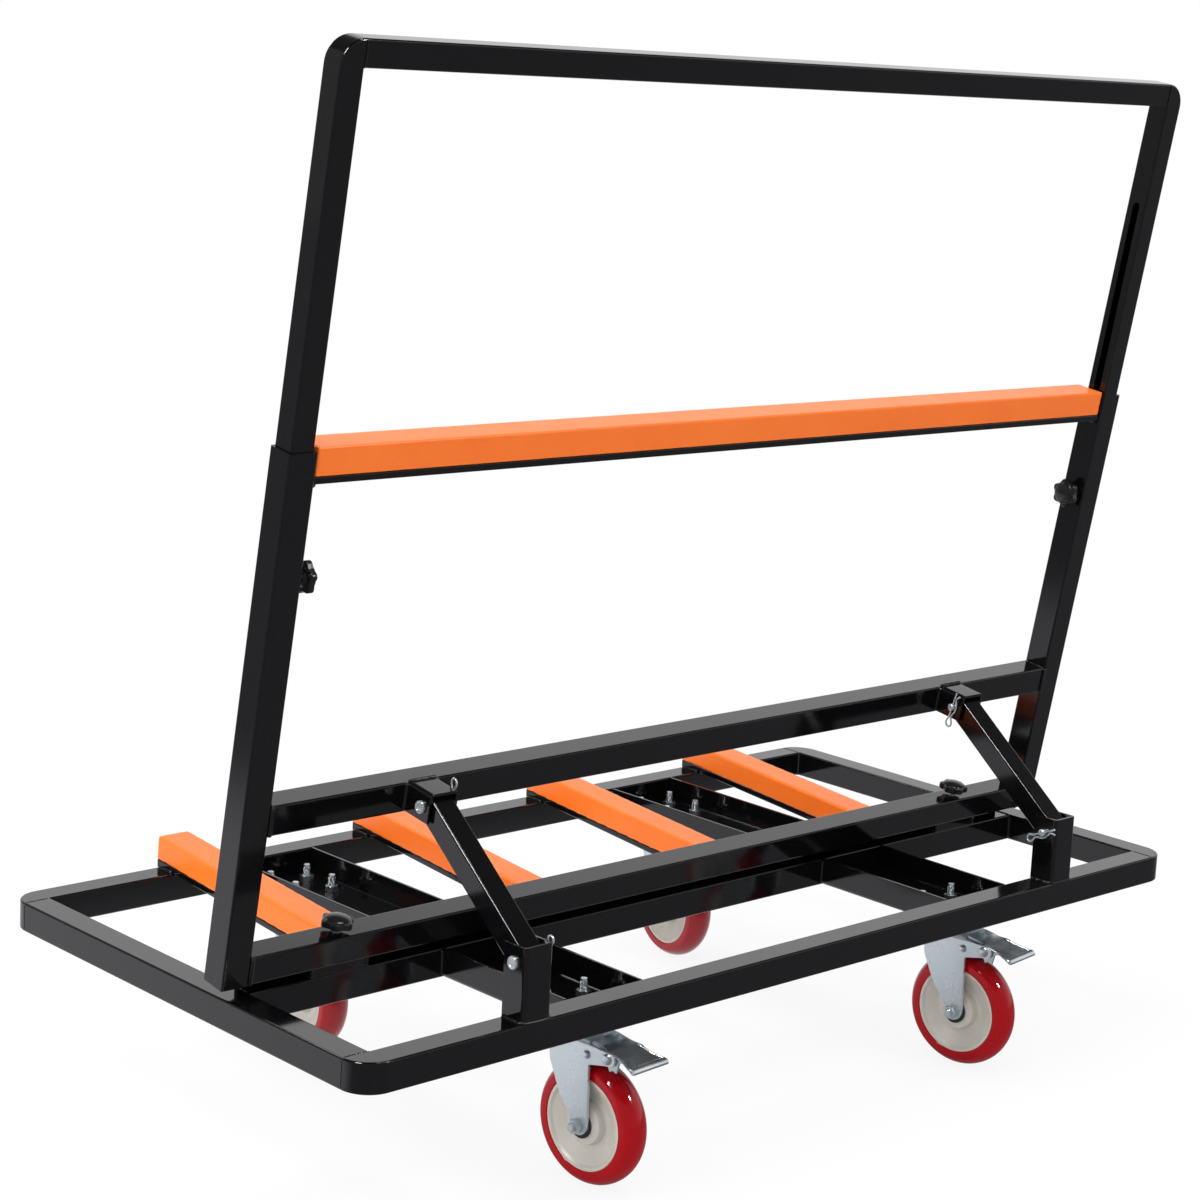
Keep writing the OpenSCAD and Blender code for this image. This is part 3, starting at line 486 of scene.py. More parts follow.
# deck bars under the pads
deckBar = {"wide": 36, "side": ((-36.108, 169.102), (280.892, 196), (310.892, 196), (310.892, 205.571),
                                (-36.108, 176.127)), "edge": 1.2}
bar = across("deckBar", deckBar["wide"] / 2, deckBar["side"], deckBar["edge"])
bars = [copied(bar, "deckBarCopy", move(x, 0, 0)) for x in deckPad["places"]]
bpy.data.objects.remove(bar)
fit(finishIn(joined("deckBars", bars), coat), "frame", "black_coat", "deck_bars")

# bar behind the backrest pad
backBar = {"half": 557, "side": ((2, 483), (28, 483), (28, 490), (2, 490)), "edge": 1.2}
bar = across("backrestBar", backBar["half"], backBar["side"], backBar["edge"])
fit(finishIn(settle(bar, onBack), coat), "frame", "black_coat", "backrest_bar")

# blocks between the lower rail and the middle beam
seatBlock = {"long": 65, "places": (-450, 450),
             "side": ((-66.108, 196), (-39.408, 196), (-39.408, 209.832), (-66.108, 205.532)), "edge": 0.9}
block = across("seatBlock", seatBlock["long"] / 2, seatBlock["side"], seatBlock["edge"])
blocks = [copied(block, "seatBlockCopy", move(x, 0, 0)) for x in seatBlock["places"]]
bpy.data.objects.remove(block)
fit(finishIn(joined("seatBlocks", blocks), coat), "frame", "black_coat", "seat_blocks")

# strip on the middle beam that closes the gap under the lower rail on the load's side; a guessed black piece that
# stands in for the shade in that gap
gapShadeFiller = {"half": 552, "side": ((-45.4, 196), (-39.7, 196), (-39.7, 209.7), (-45.4, 208.8)), "edge": 0.5}
strip = across("gapShadeFiller", gapShadeFiller["half"], gapShadeFiller["side"], gapShadeFiller["edge"])
fit(finishIn(strip, coat), "frame", "black_coat")
print("bars and blocks done")

# strut posts and brackets
strut = {"across": {"left": -384, "right": 384}, "wide": 34, "sheet": 3, "bend": 4.2, "postHigh": 72, "postDeep": 30,
         "postFoot": (-275.108, 196), "cheek": 13.5, "bracketDeep": 35, "bracketUp": 164.3, "nose": 11,
         "lowerPin": (-259.108, 251), "upperPin": (-118.637, 363.488)}
for side, x in strut["across"].items():
    post = folded("post", strut["wide"], strut["postDeep"], strut["sheet"], strut["bend"], strut["postHigh"])
    y, z = strut["postFoot"]
    settle(post, move(x, y, z + strut["postHigh"]) @ spinAbout(180, "Z") @ spinAbout(90, "X") @ spinAbout(180, "Z"))
    fit(finishIn(joined(side + "Post", [post]), coat), "frame", "black_coat", side + "_post")
    tall = 2 * strut["cheek"] + strut["sheet"]
    bracket = folded("bracket", strut["wide"], tall, strut["sheet"], strut["bend"], strut["bracketDeep"])
    only(bracket)
    bpy.ops.object.mode_set(mode="EDIT")
    bpy.ops.mesh.select_mode(type="EDGE")
    bpy.ops.mesh.select_all(action="DESELECT")
    mesh = bmesh.from_edit_mesh(bracket.data)
    for edge in mesh.edges:  # open corner of each cheek on the strut's side
        ends = [v.co for v in edge.verts]
        edge.select_set(all(c.z > (tall - 0.1) * mm and c.y > (strut["bracketDeep"] - 0.6) * mm for c in ends)
                        and abs(ends[0].x - ends[1].x) > mm)
    bmesh.update_edit_mesh(bracket.data)
    bpy.ops.mesh.bevel(offset=strut["nose"] * mm, segments=6, affect="EDGES")
    bpy.ops.object.mode_set(mode="OBJECT")
    smooth(bracket)
    settle(bracket, onBack @ move(x, 0, strut["bracketUp"] + strut["cheek"] + strut["sheet"]) @ spinAbout(180, "X"))
    fit(finishIn(joined(side + "Bracket", [bracket]), coat), "frame", "black_coat", side + "_bracket")
print("posts and brackets done")

# strut pins with dished heads
pin = {"shank": 4, "head": 6.3, "inner": -22.5, "outer": 17}
inner, outer, rim = pin["inner"], pin["outer"], pin["head"]
shape = [(inner, 0), (inner, 3), (inner + 0.9, pin["shank"]), (outer, pin["shank"]), (outer, rim - 0.3), (outer + 0.4, rim),
         (outer + 2.1, rim), (outer + 2.7, rim - 0.4), (outer + 3, rim - 1.2), (outer + 2.8, rim - 1.9),
         (outer + 2.2, rim - 2.4), (outer + 2.1, 2), (outer + 2.3, 0)]
rod = turned("strutPin", shape, "X", 40)
pins = []
for side, x in strut["across"].items():
    for level in ("lowerPin", "upperPin"):
        y, z = strut[level]
        pins.append(copied(rod, "pinCopy", move(x, y, z) @ spinAbout(180 if side == "left" else 0, "Z")))
bpy.data.objects.remove(rod)
fit(finishIn(joined("strutPins", pins), zinc), "frame", "zinc_plate", "strut_pins")

# hairpin clips, one straight leg in the pin and one waved round it
clip = {"wire": 1.0, "offset": 18.5,
        "bends": ((0, -17), (0, -6), (0, 6), (0, 13), (-1.3, 16.5), (-1.5, 20), (1.2, 23.2), (4.6, 22.7), (6.2, 19.4),
                  (4.9, 16), (3.1, 12.6), (3.4, 8.6), (5.3, 4), (5.5, -1), (4.2, -5.5), (2.6, -9), (3.2, -12), (5.6, -15.5)),
        "heading": {"left_lower": 35, "left_upper": 20, "right_lower": 246, "right_upper": 197.5}}
wire = wireAlong("clipWire", [(0, y, z) for y, z in through(clip["bends"])], clip["wire"])
for name, heading in clip["heading"].items():
    side, level = name.split("_")
    y, z = strut[level + "Pin"]
    shift = clip["offset"] if side == "left" else -clip["offset"]
    piece = copied(wire, side + level.capitalize() + "Clip",
                   move(strut["across"][side] + shift, y, z) @ spinAbout(heading, "X"))
    fit(finishIn(piece, zinc), name + "_clip", "zinc_plate", name + "_clip")
bpy.data.objects.remove(wire)
print("pins and clips done")

# star knobs on threaded studs
knob = {"lobe": 16.5, "waist": 13.4, "lobes": 6, "gap": 3, "neck": 3, "body": 7, "edge": 1.3, "dome": 3.5, "domeRadius": 12.6,
        "stud": 4, "pitch": 1.25, "turn": 12, "heightPlace": (553, 15, 393), "basePlace": (450, 15, 28),
        "heightReach": 11.5, "baseReach": 52}


def threaded(name, low, high, radius, pitch, axis="Z"):  # stud with a thread of plain ridges and a chamfered end
    depth = 0.6 * pitch
    shape = [(low, 0), (low, radius - depth)]
    count = int((high - low - pitch) / pitch)
    for k in range(count):
        start = low + pitch * (k + 0.5)
        shape += [(start, radius - depth), (start + pitch * 0.45, radius), (start + pitch * 0.55, radius)]
    shape += [(high, radius - depth), (high, 0)]
    return turned(name, shape, axis, 24)


def starKnob(reach):
    ring = [math.radians(360 * k / 96) for k in range(96)]
    mean, swing = (knob["lobe"] + knob["waist"]) / 2, (knob["lobe"] - knob["waist"]) / 2
    foot = knob["gap"] + knob["neck"]
    head = foot + knob["body"]
    rays = [(mean + swing * math.cos(knob["lobes"] * a), a) for a in ring]
    star = slab("star", [(r * math.cos(a), r * math.sin(a), foot) for r, a in rays], (0, 0, knob["body"]), knob["edge"], 4)
    r, gap = knob["domeRadius"], knob["gap"]
    dome = turned("dome", [(head - 1, 0), (head - 1, r + 0.5), (head + 0.1, r + 0.4), (head + 0.7, r), (head + 1.6, r * 0.88),
                           (head + 2.5, r * 0.66), (head + 3.2, r * 0.36), (head + knob["dome"], 0)], "Z", 48)
    neck = turned("neck", [(gap, 0), (gap, 7.2), (gap + 0.4, 7.6), (foot - 0.8, 8.4), (foot + 0.5, 10.2), (foot + 0.5, 0)],
                  "Z", 40)
    for part in (star, dome, neck):
        finishIn(part, finishes["knob_black"])
    stud = finishIn(threaded("stud", -reach, gap + 1, knob["stud"], knob["pitch"]), zinc)
    return joined("starKnob", [star, dome, neck, stud])


heightStar, baseStar = starKnob(knob["heightReach"]), starKnob(knob["baseReach"])
for side, way in (("left", -1), ("right", 1)):
    x, n, u = knob["heightPlace"]
    piece = copied(heightStar, side + "HeightKnob",
                   onBack @ move(way * x, n, u) @ spinAbout(-90 * way, "Y") @ spinAbout(knob["turn"], "Z"))
    fit(piece, side + "_height_knob", "knob_black", side + "_height_knob")
    x, n, u = knob["basePlace"]
    piece = copied(baseStar, side + "BaseKnob", onBack @ move(way * x, n, u) @ spinAbout(knob["turn"] * way, "Z"))
    fit(piece, side + "_base_knob", "knob_black", side + "_base_knob")
for star in (heightStar, baseStar):
    bpy.data.objects.remove(star)


def hexNut(name, flats, high, chamfer=0.9):  # six sides with both rims turned down, along Z from 0
    clearPick()
    bpy.ops.mesh.primitive_cylinder_add(vertices=6, radius=flats / math.sqrt(3) * mm, depth=high * mm,
                                        location=(0, 0, high * mm / 2))
    piece = bpy.context.object
    piece.name = piece.data.name = name
    bpy.ops.object.transform_apply(location=True, rotation=True, scale=True)
    r, brim = flats / 2 - 0.2, flats / 2 + chamfer * 1.6
    cap = turned(name + "Cap", [(-0.01, 0), (-0.01, r), (chamfer, brim), (high - chamfer, brim), (high + 0.01, r),
                                (high + 0.01, 0)], "Z", 48)
    cutTo(piece, cap)
    return soften(piece, 0.25, 2, 25)


weldNut = {"across": 13.2, "high": 4, "deepHigh": 7, "deep": -20.6}
flat = hexNut("weldNut", weldNut["across"], weldNut["high"])
deep = hexNut("deepNut", weldNut["across"], weldNut["deepHigh"])
nuts = []
for way in (-1, 1):
    x, n, u = knob["heightPlace"]
    nuts.append(finishIn(copied(flat, "nutCopy", onBack @ move(way * x, n, u) @ spinAbout(90 * way, "Y")), clearZinc))
    x, n, u = knob["basePlace"]
    nuts.append(finishIn(copied(deep, "nutCopy", onBack @ move(way * x, n, weldNut["deep"])), zinc))
for part in (flat, deep):
    bpy.data.objects.remove(part)
fit(joined("knobNuts", nuts), "frame", "zinc_plate", "knob_nuts")
print("knobs done")

# caster plates, race and kingpin, bolts and nuts
caster = {"across": 273.5, "near": -214.108, "far": 233.892, "trail": 23.5, "axle": 62.5,
          "yaw": {"near_left": 4.4, "near_right": 7.4, "far_left": -6, "far_right": -9}}


def atCaster(name, headed=True):
    row, side = name.split("_")
    place = move(caster["across"] * (-1 if side == "left" else 1), caster[row], 0)
    return place @ spinAbout(caster["yaw"][name], "Z") if headed else place


plate = {"x": 35, "y": 33, "corner": 6, "low": 162, "thick": 4, "edge": 0.6, "boltX": 24, "boltY": 22.5, "boltTop": 187,
         "bolt": 4, "pitch": 1.25, "boltTurn": 17, "nutFloor": 169, "nutHigh": 6.4, "nutAcross": 13, "headHigh": 5.3,
         "race": ((162.2, 0), (162.2, 21), (161.6, 23.4), (160.4, 24.7), (158.6, 25), (157, 24.6), (156.2, 23.4), (156, 21.8),
                  (156, 6), (146.5, 6), (146.5, 9.6), (145.8, 10), (144.2, 9.7), (143, 8.2), (142.5, 6), (142.5, 0))}
corners = [(x * plate["x"], y * plate["y"], plate["corner"]) for x, y in ((-1, -1), (1, -1), (1, 1), (-1, 1))]
top = slab("plate", [(x, y, plate["low"]) for x, y in rounded(corners)], (0, 0, plate["thick"]), plate["edge"])
race = turned("race", plate["race"], "Z", 56)
base = finishIn(joined("plateAndRace", [top, race]), zinc)
plates = [copied(base, "plateCopy", atCaster(name, False)) for name in caster["yaw"]]
bpy.data.objects.remove(base)
fit(joined("casterPlates", plates), "frame", "zinc_plate", "caster_plates")
stud = threaded("stud", plate["low"] - 1, plate["boltTop"], plate["bolt"], plate["pitch"])
head = settle(hexNut("head", plate["nutAcross"], plate["headHigh"]), move(0, 0, plate["low"] - plate["headHigh"]))
bolt = finishIn(joined("bolt", [stud, head]), clearZinc)
nut = settle(hexNut("nut", plate["nutAcross"], plate["nutHigh"]), move(0, 0, plate["nutFloor"]))
finishIn(nut, clearZinc)
bolts, nuts = [], []
for name in caster["yaw"]:
    for i, (sx, sy) in enumerate(((-1, -1), (-1, 1), (1, -1), (1, 1))):
        spot = move(sx * plate["boltX"], sy * plate["boltY"], 0)
        place = atCaster(name, False) @ spot @ spinAbout(plate["boltTurn"] * i, "Z")
        bolts.append(copied(bolt, "boltCopy", place))
        nuts.append(copied(nut, "nutCopy", place))
for part in (bolt, nut):
    bpy.data.objects.remove(part)
fit(joined("casterBolts", bolts), "frame", "zinc_plate", "caster_bolts")
fit(joined("casterNuts", nuts), "frame", "zinc_plate", "caster_nuts")
print("caster plates and bolts done")

# forks, pressed from sheet and cut to the leg's outline
fork = {"half": 22, "sheet": 3, "bend": 6, "crown": 150, "foot": 45, "back": -80, "front": 24, "crease": -20, "press": -3.2,
        "leg": ((20, 151), (20, 132, 6), (18.5, 118, 14), (4, 89, 16), (-12, 69, 10), (-12, 53.4, 11.2), (-35.6, 53.4, 11.2)),
        "tail": {True: ((-33.6, 126.6, 3), (-56, 131.4, 5), (-66.2, 131.6, 6), (-66.2, 144.4, 6), (-48, 144.8, 8), (-33, 146.8),
                        (-32, 151)), False: ((-32, 125, 12), (-32, 151))},
        "ring": ((149.5, 6.1), (155.5, 6.1), (155.5, 21.8), (155.2, 23.6), (154.2, 24.7), (152.6, 25), (151, 24.6), (150.2, 23.4),
                 (149.5, 22), (149.5, 6.1))}


def pressedFork(name, braked):
    w, t, low, bend, crown = fork["half"], fork["sheet"], fork["foot"], fork["bend"], fork["crown"]
    outline = rounded([(-w, low), (-w, crown, bend), (w, crown, bend), (w, low), (w - t, low), (w - t, crown - t, bend - t),
                       (t - w, crown - t, bend - t), (t - w, low)], 7)
    sheet = slab(name, [(x, fork["back"], z) for x, z in outline], (0, fork["front"] - fork["back"], 0))
    cutTo(sheet, across("cutter", 40, rounded([*fork["leg"], *fork["tail"][braked]], 6)))
    for way in (-1, 1):  # each leg is pressed inwards a little ahead of its middle
        only(sheet)
        bpy.ops.object.mode_set(mode="EDIT")
        bpy.ops.mesh.select_mode(type="VERT")
        if way < 0:
            bpy.ops.mesh.select_all(action="SELECT")
            bpy.ops.mesh.bisect(plane_co=(0, fork["crease"] * mm, 0), plane_no=(0, 1, 0))
        bpy.ops.mesh.select_all(action="DESELECT")
        mesh = bmesh.from_edit_mesh(sheet.data)
        for corner in mesh.verts:
            corner.select_set(corner.co.x * way > 12 * mm and corner.co.y > (fork["crease"] + 0.5) * mm)
        mesh.select_flush(True)
        bmesh.update_edit_mesh(sheet.data)
        bpy.ops.transform.rotate(value=math.radians(fork["press"]) * way, orient_axis="Z",
                                 center_override=(way * fork["half"] * mm, fork["crease"] * mm, 0.1))
        bpy.ops.object.mode_set(mode="OBJECT")
    soften(sheet, 0.5, 2, 35)
    ring = turned("ring", fork["ring"], "Z", 56)
    return finishIn(joined(name, [sheet, ring]), zinc)


def wheelAxis(name):
    return atCaster(name) @ move(0, -caster["trail"], caster["axle"])


axle = {"bolt": 4.4, "pitch": 1.5, "inner": 23, "end": -32.6, "nutAcross": 13, "nutHigh": 6.6, "nutTurn": 11, "headHigh": 5.5,
        "seal": 13.5, "sealBore": 5, "sealFrom": 16.5, "sealTo": 18.9, "rivets": ((-57.3, 138.5, 5.5), (-31.4, 136, 4.2)),
        "rivetBar": ((-22, 0), (-22, 3.9), (22, 3.9), (22, 0))}


def axleSet(name, braked):
    shaft = threaded("shaft", axle["end"], axle["inner"], axle["bolt"], axle["pitch"], "X")
    nut = hexNut("axleNut", axle["nutAcross"], axle["nutHigh"], 1.3)
    settle(nut, spinAbout(-90, "Y") @ spinAbout(axle["nutTurn"], "Z"))
    settle(nut, move(-fork["half"], 0, 0))
    head = hexNut("axleHead", axle["nutAcross"], axle["headHigh"], 1.2)
    settle(head, move(fork["half"], 0, 0) @ spinAbout(90, "Y"))
    parts = [finishIn(part, zinc) for part in (shaft, nut, head)]
    if braked:
        spots = [move(0, y + caster["trail"], z - caster["axle"]) for y, z, r in axle["rivets"]]
        for spot, (y, z, r) in zip(spots, axle["rivets"]):
            for way in (180, 0):
                rivet = turned("rivet", [(21, 0), (21, 3), (21.9, 3), (21.9, r - 0.3), (22.6, r), (23.3, r - 0.5),
                                         (23.9, r - 1.8), (24.1, 0)], "X", 32)
                parts.append(finishIn(settle(rivet, spot @ spinAbout(way, "Z")), clearZinc))
        parts.append(finishIn(settle(turned("rivetBar", axle["rivetBar"], "X", 24), spots[0]), clearZinc))
    for way in (0, 180):
        r, bore, start, stop = axle["seal"], axle["sealBore"], axle["sealFrom"], axle["sealTo"]
        ring = turned("seal", [(start, bore), (stop, bore), (stop, r - 0.5), (stop - 0.5, r), (start + 0.4, r), (start, r - 0.4),
                               (start, bore)], "X", 40)
        parts.append(finishIn(settle(ring, spinAbout(way, "Z")), sealFinish))
    return joined(name, parts)


hub = [(-16, 5.05), (-16, 14.5, 0.5), (-15, 15, 0.5), (-13.6, 20.4, 1.5), (-6.5, 22.4, 1.6), (-6, 28.5, 3), (-12.4, 41.2, 2),
       (-15, 43.6, 0.8), (-15, 46.4), (15, 46.4), (15, 43.6, 0.8), (12.4, 41.2, 2), (6, 28.5, 3), (6.5, 22.4, 1.6),
       (13.6, 20.4, 1.5), (15, 15, 0.5), (16, 14.5, 0.5), (16, 5.05)]
tyre = {"outer": 62.5, "crown": 20, "half": 15.2, "steps": 12,
        "flank": ((-14.8, 46), (-15.6, 46.9), (-15.9, 47.6), (-15.9, 53.7))}
centre = rounded(hub, 3)
wheelCentre = finishIn(turned("wheelCentre", [tuple(p) for p in centre + centre[:1]], "X", 72), finishes["hub_grey"])
crown, reach = tyre["crown"], math.asin(tyre["half"] / tyre["crown"])
bow = [reach * k / tyre["steps"] for k in range(-tyre["steps"], tyre["steps"] + 1)]
arc = [(crown * math.sin(a), tyre["outer"] - crown + crown * math.cos(a)) for a in bow]
ring = [*tyre["flank"], *arc, *((-x, r) for x, r in reversed(tyre["flank"])), tyre["flank"][0]]
tread = finishIn(turned("tread", ring, "X", 96, 50), finishes["red_tread"])

# brake pedals: a bent plate that widens to a rolled lip, with rounded rims and a toothed cheek on each side
pedal = {"edge": 0.5, "cheek": 2.4, "cheekAt": 18.4, "rim": 1.3,
         "plate": ((-34, 149.8), (-45.5, 147.8, 1.5), (-57.5, 145.2, 1.5), (-86.4, 138.1, 0.9), (-88.2, 139, 1.6),
                   (-92.2, 138.3, 3), (-94.4, 135.4, 2), (-93.2, 133, 1.2), (-90, 133.4, 1.2), (-88.4, 135, 1.5), (-86.2, 136, 1.5),
                   (-57.5, 143.1, 1.5), (-45.5, 145.7, 1.5), (-34, 147.7)),
         "plan": ((17.6, -30), (17.6, -58, 6), (19.4, -66, 12), (20, -77, 14), (24, -85.5, 8), (24, -100)),
         "rimLine": ((17.4, -52, 144.6), (18.2, -58, 144.2), (19.1, -65, 142.6), (19.5, -72, 140.9), (20.4, -77.5, 139.6),
                     (22.2, -82, 138.6), (23.4, -86.5, 137.4), (23.4, -90.5, 136.4)),
         "tail": ((-49.5, 138.5, 5), (-47, 145.2, 1), (-62, 142.8, 4), (-84, 137.4, 1), (-83, 135.6, 0.8), (-74.5, 138.2, 0.8),
                  (-69.2, 136.8, 0.8), (-66.4, 125.7, 0.7), (-61.6, 127.4, 0.7), (-57.6, 125.2, 0.7), (-54.6, 131.6, 2)),
         "shoe": ((-62, 137.5), (-54, 141.5), (-40, 130.2), (-42.6, 127)), "shoeHalf": 15.5}


def footPedal(name):
    sheet = across(name, 30, rounded(pedal["plate"], 5))
    plan = rounded([*pedal["plan"], *((-c[0], *c[1:]) for c in reversed(pedal["plan"]))], 6)
    cutTo(sheet, slab("cutter", [(x, y, 120) for x, y in plan], (0, 0, 40)))
    parts = [soften(sheet, pedal["edge"], 2, 45)]
    for way in (-1, 1):
        line = [(way * x, y, z) for x, y, z in through(pedal["rimLine"])]
        parts.append(wireAlong("rim", line, pedal["rim"]))
        cheek = across("cheek", pedal["cheek"] / 2, rounded(pedal["tail"], 4), 0.4, 2)
        parts.append(settle(cheek, move(way * (pedal["cheekAt"] - pedal["cheek"] / 2), 0, 0)))
    parts.append(across("shoe", pedal["shoeHalf"], pedal["shoe"], 0.8, 2))
    for part in parts:
        finishIn(part, clearZinc)
    return joined(name, parts)


forks = {True: pressedFork("brakedFork", True), False: pressedFork("plainFork", False)}
axles = {True: axleSet("brakedAxle", True), False: axleSet("plainAxle", False)}
foot = footPedal("footPedal")
for name in caster["yaw"]:
    row, side = name.split("_")
    braked = row == "near"
    label = row + side.capitalize()
    fit(copied(forks[braked], label + "Fork", atCaster(name)), name + "_swivel", "zinc_plate", name + "_fork")
    fit(copied(axles[braked], label + "Axle", wheelAxis(name)), name + "_swivel", "zinc_plate", name + "_axle")
    fit(copied(wheelCentre, label + "Hub", wheelAxis(name)), name + "_wheel", "hub_grey", name + "_hub")
    fit(copied(tread, label + "Tread", wheelAxis(name)), name + "_wheel", "red_tread", name + "_tread")
    if braked:
        fit(copied(foot, side + "Pedal", atCaster(name)), side + "_pedal", "zinc_plate", side + "_pedal")
for part in [*forks.values(), *axles.values(), wheelCentre, tread, foot]:
    bpy.data.objects.remove(part)
print("casters done")

# weld beads where the tubes meet, laid as small overlapping ripples
weld = {"ripple": 3.1, "swell": 0.5, "frame": [], "upper": [], "backRail": 555.9, "backBar": 554.6, "topTube": 559.5,
        "endRail": 553, "beam": (-66.1, -36.1), "rails": (-245.1, 280.9), "low": 169, "high": 193, "top": 196}


def bead(start, end, radius, matrix=None, body="frame"):  # rippled rod from point to point
    start, end = Vector(start), Vector(end)
    if matrix:
        start, end = matrix @ (start * mm) / mm, matrix @ (end * mm) / mm
    length = (end - start).length
    count = max(2, round(length / weld["ripple"]))
    pitch = length / count
    shape = [(-0.6, 0), (-0.5, radius * 0.55)]
    for k in range(count):
        crest = radius * (1 + weld["swell"] * (0.45 + 0.1 * (k * 7 % 3)))
        shape += [(pitch * (k + 0.12), radius), (pitch * (k + 0.5), crest), (pitch * (k + 0.88), radius)]
    shape += [(length + 0.5, radius * 0.55), (length + 0.6, 0)]
    rod = turned("bead", shape, "X", 10, 80)
    turnTo = (end - start).to_track_quat("X", "Z").to_matrix().to_4x4()
    weld[body].append(settle(rod, move(*start) @ turnTo))


low, high, roof = weld["low"], weld["high"], weld["top"]
for way in (-1, 1):
    x = weld["backRail"] * way  # rails of the backrest to the uprights, clear of the sliding tubes
    for under, over in ((0.6, 27.4), (149.9, 178.7)):
        bead((x, -0.3, under), (x, -0.3, over), 2.0, onBack)
        for u in (under, over):
            bead((x, 2, u), (x, 27, u), 2.0, onBack)
    x = weld["backBar"] * way
    bead((x, 4, 482.2), (x, 26, 482.2), 2.6, onBack)
    x = weld["topTube"] * way  # sliding tubes to the top bar
    bead((x, 2.2, 847), (x, 2.2, 869.5), 0.8, onBack, "upper")
    bead((x, 4, 869.6), (x, 26, 869.6), 0.8, onBack, "upper")
    x = strut["across"]["right"] * way
    for edge in (-17, 17):  # feet of the posts, brackets on the middle rail
        bead((x + edge, -273, 196.2), (x + edge, -247, 196.2), 2.3)
        bead((x + edge * 1.04, -0.4, 152), (x + edge * 1.04, -0.4, 179), 2.6, onBack)
    bead((x - 16, -0.6, 180.8), (x + 16, -0.6, 180.8), 2.2, onBack)
    bead((x - 15, -275, 196.3), (x + 15, -275, 196.3), 1.5)
    x = seatBlock["places"][1] * way
    for edge in (-32.5, 32.5):  # ends of the seat blocks
        bead((x + edge, -63, 197), (x + edge, -41, 197), 2.2)
        bead((x + edge, -65.8, 197), (x + edge, -65.8, 204), 1.8)
    x = weld["endRail"] * way
    for y, inward in zip(weld["beam"], (1, -1)):  # middle beam to the end rails
        bead((x, y, low), (x, y, high), 2.2)
        bead((x, y + 3 * inward, roof), (x, y + 27 * inward, roof), 1.0)
    for edge in (-50, 50):  # channels to the rails and the middle beam
        x = channel["places"][1] * way + edge
        for y in (weld["rails"][0], *weld["beam"], weld["rails"][1]):
            bead((x, y, 170), (x, y, high), 2.0)
for x in deckPad["places"]:
    for edge in (-18, 18):  # deck bars to the far rail and the middle beam
        bead((x + edge, 283, 196.4), (x + edge, 305, 196.4), 2.4)
    bead((x - 16, 280.4, 195.6), (x + 16, 280.4, 195.6), 2.4)
    bead((x - 15, -36.4, 176.4), (x + 15, -36.4, 176.4), 1.8)
x = weld["endRail"]
for y in weld["rails"]:  # flush seams at the corners of the base, the left end rail between the long rails
    bead((-582.7, y, 168.5), (-582.7, y, 193.5), 0.7)
    bead((-580, y, 195.7), (-556, y, 195.7), 0.7)
    bead((-x, y, 168.5), (-x, y, 193.5), 2.0)
for y, out in ((-275, -1), (310.8, 1)):  # the long rails against the right end rail
    bead((x, y - 0.8 * out, 168.5), (x, y - 0.8 * out, 193.5), 0.7)
    bead((x, y - 3 * out, 195.7), (x, y - 27 * out, 195.7), 0.7)
    bead((x, y - 30 * out, low), (x, y - 30 * out, high), 2.0)
fit(finishIn(joined("frameWelds", weld["frame"]), coat), "frame", "black_coat")
fit(finishIn(joined("upperWelds", weld["upper"]), coat), "upper_frame", "black_coat")
print("welds done")

# floor, backdrop and light
# dim and mirrored are the floor's glow as seen in reflections; the two edges after them bound its painted reflection
# shade
studio = {"floor": 24, "shadow": 0.12, "ambient": 0.85, "bright": 1.0, "dim": 0.22, "mirrored": 0.94,
          "reflectShadeLeftEdge": -1.42, "reflectShadeNearEdge": -0.1, "backdrop": 0.5, "aim": (0, 0, 0.4),
          "lamps": {"leftLamp": ((-2.3, -0.4, 2.9), 0.45, 13), "backLamp": ((-0.9, 2.4, 2.7), 0.45, 7),
                    "frontLamp": ((0.8, -2.0, 3.0), 0.45, 5), "sideLamp": ((-2.6, 0.6, 1.1), 1.8, 35),
                    "topLamp": ((0.13, -0.81, 3.04), 0.3, 5), "overLamp": ((0.2, 0.4, 3.3), 1.5, 36),
                    "edgeGlint": ((-2.3, -0.4, 2.9), 0.8, 130), "treadGlint": ((0.13, -0.81, 3.04), 0.3, 40),
                    "frontGlint": ((0.88, -2.28, 2.02), 0.3, 40)}}
clearPick()
bpy.ops.mesh.primitive_plane_add(size=studio["floor"])
floor = bpy.context.object
floor.name = "floor"
finish, tree, spot = newFinish("paleFloor")  # pale floor: plain white to the camera, with a faint real shadow kept near the cart; in reflections it glows with painted shade in front and to the left
path = add(tree, "LightPath", {})
place = add(tree, "SeparateXYZ", {}, {0: spot})
away = add(tree, "VectorMath", {"operation": "LENGTH"}, {0: spot})
far = add(tree, "MapRange", {"From Min": 0.7, "From Max": 1.9, "To Min": 1 - studio["shadow"], "To Max": 1.0,
                             "interpolation_type": "SMOOTHSTEP"}, {"Value": away.outputs["Value"]})
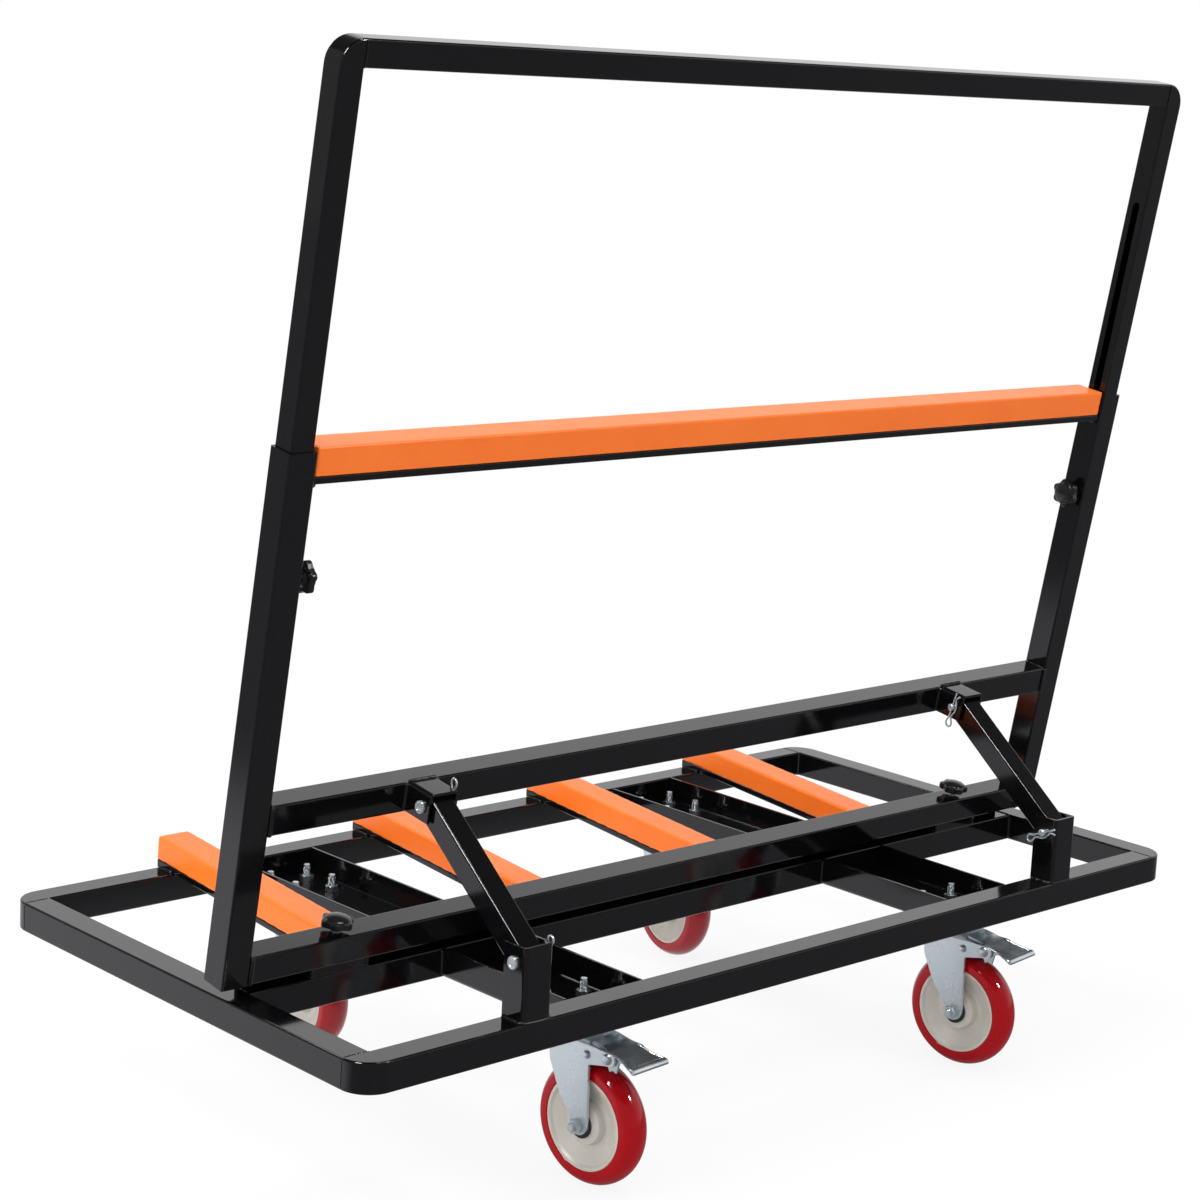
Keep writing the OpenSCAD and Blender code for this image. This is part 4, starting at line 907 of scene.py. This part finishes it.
# painted reflection shade: to glossy rays the floor glows dim to the left of and in front of the cart and bright behind
# it, standing in for shade seen in reflections
reflectLitAcross = add(tree, "MapRange", {"From Min": studio["reflectShadeLeftEdge"] - 0.2, "From Max": studio["reflectShadeLeftEdge"] + 0.2,
                                     "interpolation_type": "SMOOTHSTEP"}, {"Value": place.outputs["X"]})
reflectLitAlong = add(tree, "MapRange", {"From Min": studio["reflectShadeNearEdge"] - 0.18, "From Max": studio["reflectShadeNearEdge"] + 0.18,
                                    "interpolation_type": "SMOOTHSTEP"}, {"Value": place.outputs["Y"]})
reflectLitZone = add(tree, "Math", {"operation": "MULTIPLY"}, {0: reflectLitAcross.outputs[0], 1: reflectLitAlong.outputs[0]})
mirrored = add(tree, "MapRange", {"To Min": studio["dim"], "To Max": studio["mirrored"]}, {"Value": reflectLitZone.outputs[0]})
strength = add(tree, "Mix", {2: 1.0}, {0: path.outputs["Is Glossy Ray"], 3: mirrored.outputs[0]})
plain = add(tree, "BsdfDiffuse", {"Color": linear("#f4f4f4")})
# painted reflection tint: to glossy rays the floor glows slightly blue
tint = add(tree, "Mix", {"data_type": "RGBA", 6: (1, 1, 1, 1), 7: (0.95, 0.94, 1.0, 1)}, {0: path.outputs["Is Glossy Ray"]})
glow = add(tree, "Emission", {}, {"Color": tint.outputs[2], "Strength": strength.outputs[0]})
seen = add(tree, "Math", {"operation": "MULTIPLY"}, {0: path.outputs["Is Camera Ray"], 1: far.outputs[0]})
share = add(tree, "Math", {"operation": "MAXIMUM"}, {0: seen.outputs[0], 1: path.outputs["Is Glossy Ray"]})
both = add(tree, "MixShader", {}, {0: share.outputs[0], 1: plain.outputs[0], 2: glow.outputs[0]})
add(tree, "OutputMaterial", {}, {"Surface": both.outputs[0]})
floor.data.materials.append(finish)
for name, (spotAt, width, power) in studio["lamps"].items():
    aim = (Vector(studio["aim"]) - Vector(spotAt)).to_track_quat("-Z", "Y").to_euler()
    bpy.ops.object.light_add(type="AREA", location=spotAt, rotation=aim)
    lamp = bpy.context.object
    lamp.name = name
    lamp.data.shape = "SQUARE"
    lamp.data.size = width
    lamp.data.energy = power
    lamp.visible_glossy = name not in ("sideLamp", "overLamp")  # the broad ones only fill
    lamp.visible_diffuse = not name.endswith("Glint")  # these only draw bright lines on bends and crowns
world = bpy.data.worlds.new("studio")
scene.world = world
world.use_nodes = True
tree = world.node_tree
tree.nodes.clear()
path = add(tree, "LightPath", {})
looking = add(tree, "TexCoord", {}).outputs["Generated"]
way = add(tree, "SeparateXYZ", {}, {0: looking})
above = add(tree, "MapRange", {"From Min": studio["backdrop"], "From Max": studio["backdrop"] + 0.14,
                               "To Min": studio["bright"], "To Max": 0.1, "interpolation_type": "SMOOTHSTEP"},
            {"Value": way.outputs["Z"]})
behind = add(tree, "VectorMath", {"operation": "DOT_PRODUCT", 1: (0.9, 0.44, 0)}, {0: looking})
side = add(tree, "MapRange", {"From Min": -0.25, "From Max": 0.8, "To Min": 0.28, "To Max": 1.0,
                              "interpolation_type": "SMOOTHSTEP"}, {"Value": behind.outputs["Value"]})
room = add(tree, "Math", {"operation": "MULTIPLY"}, {0: above.outputs[0], 1: side.outputs[0]})
lit = add(tree, "Mix", {2: studio["ambient"]}, {0: path.outputs["Is Glossy Ray"], 3: room.outputs[0]})
clear = add(tree, "Math", {"operation": "MAXIMUM"}, {0: path.outputs["Is Camera Ray"], 1: path.outputs["Is Transmission Ray"]})
level = add(tree, "Mix", {3: 1.0}, {0: clear.outputs[0], 2: lit.outputs[0]})
hue = add(tree, "Mix", {"data_type": "RGBA", 6: (0.985, 0.98, 1.0, 1), 7: (1, 1, 1, 1)}, {0: clear.outputs[0]})
sky = add(tree, "Background", {}, {"Color": hue.outputs[2], "Strength": level.outputs[0]})
add(tree, "OutputWorld", {}, {"Surface": sky.outputs[0]})
print("studio set")
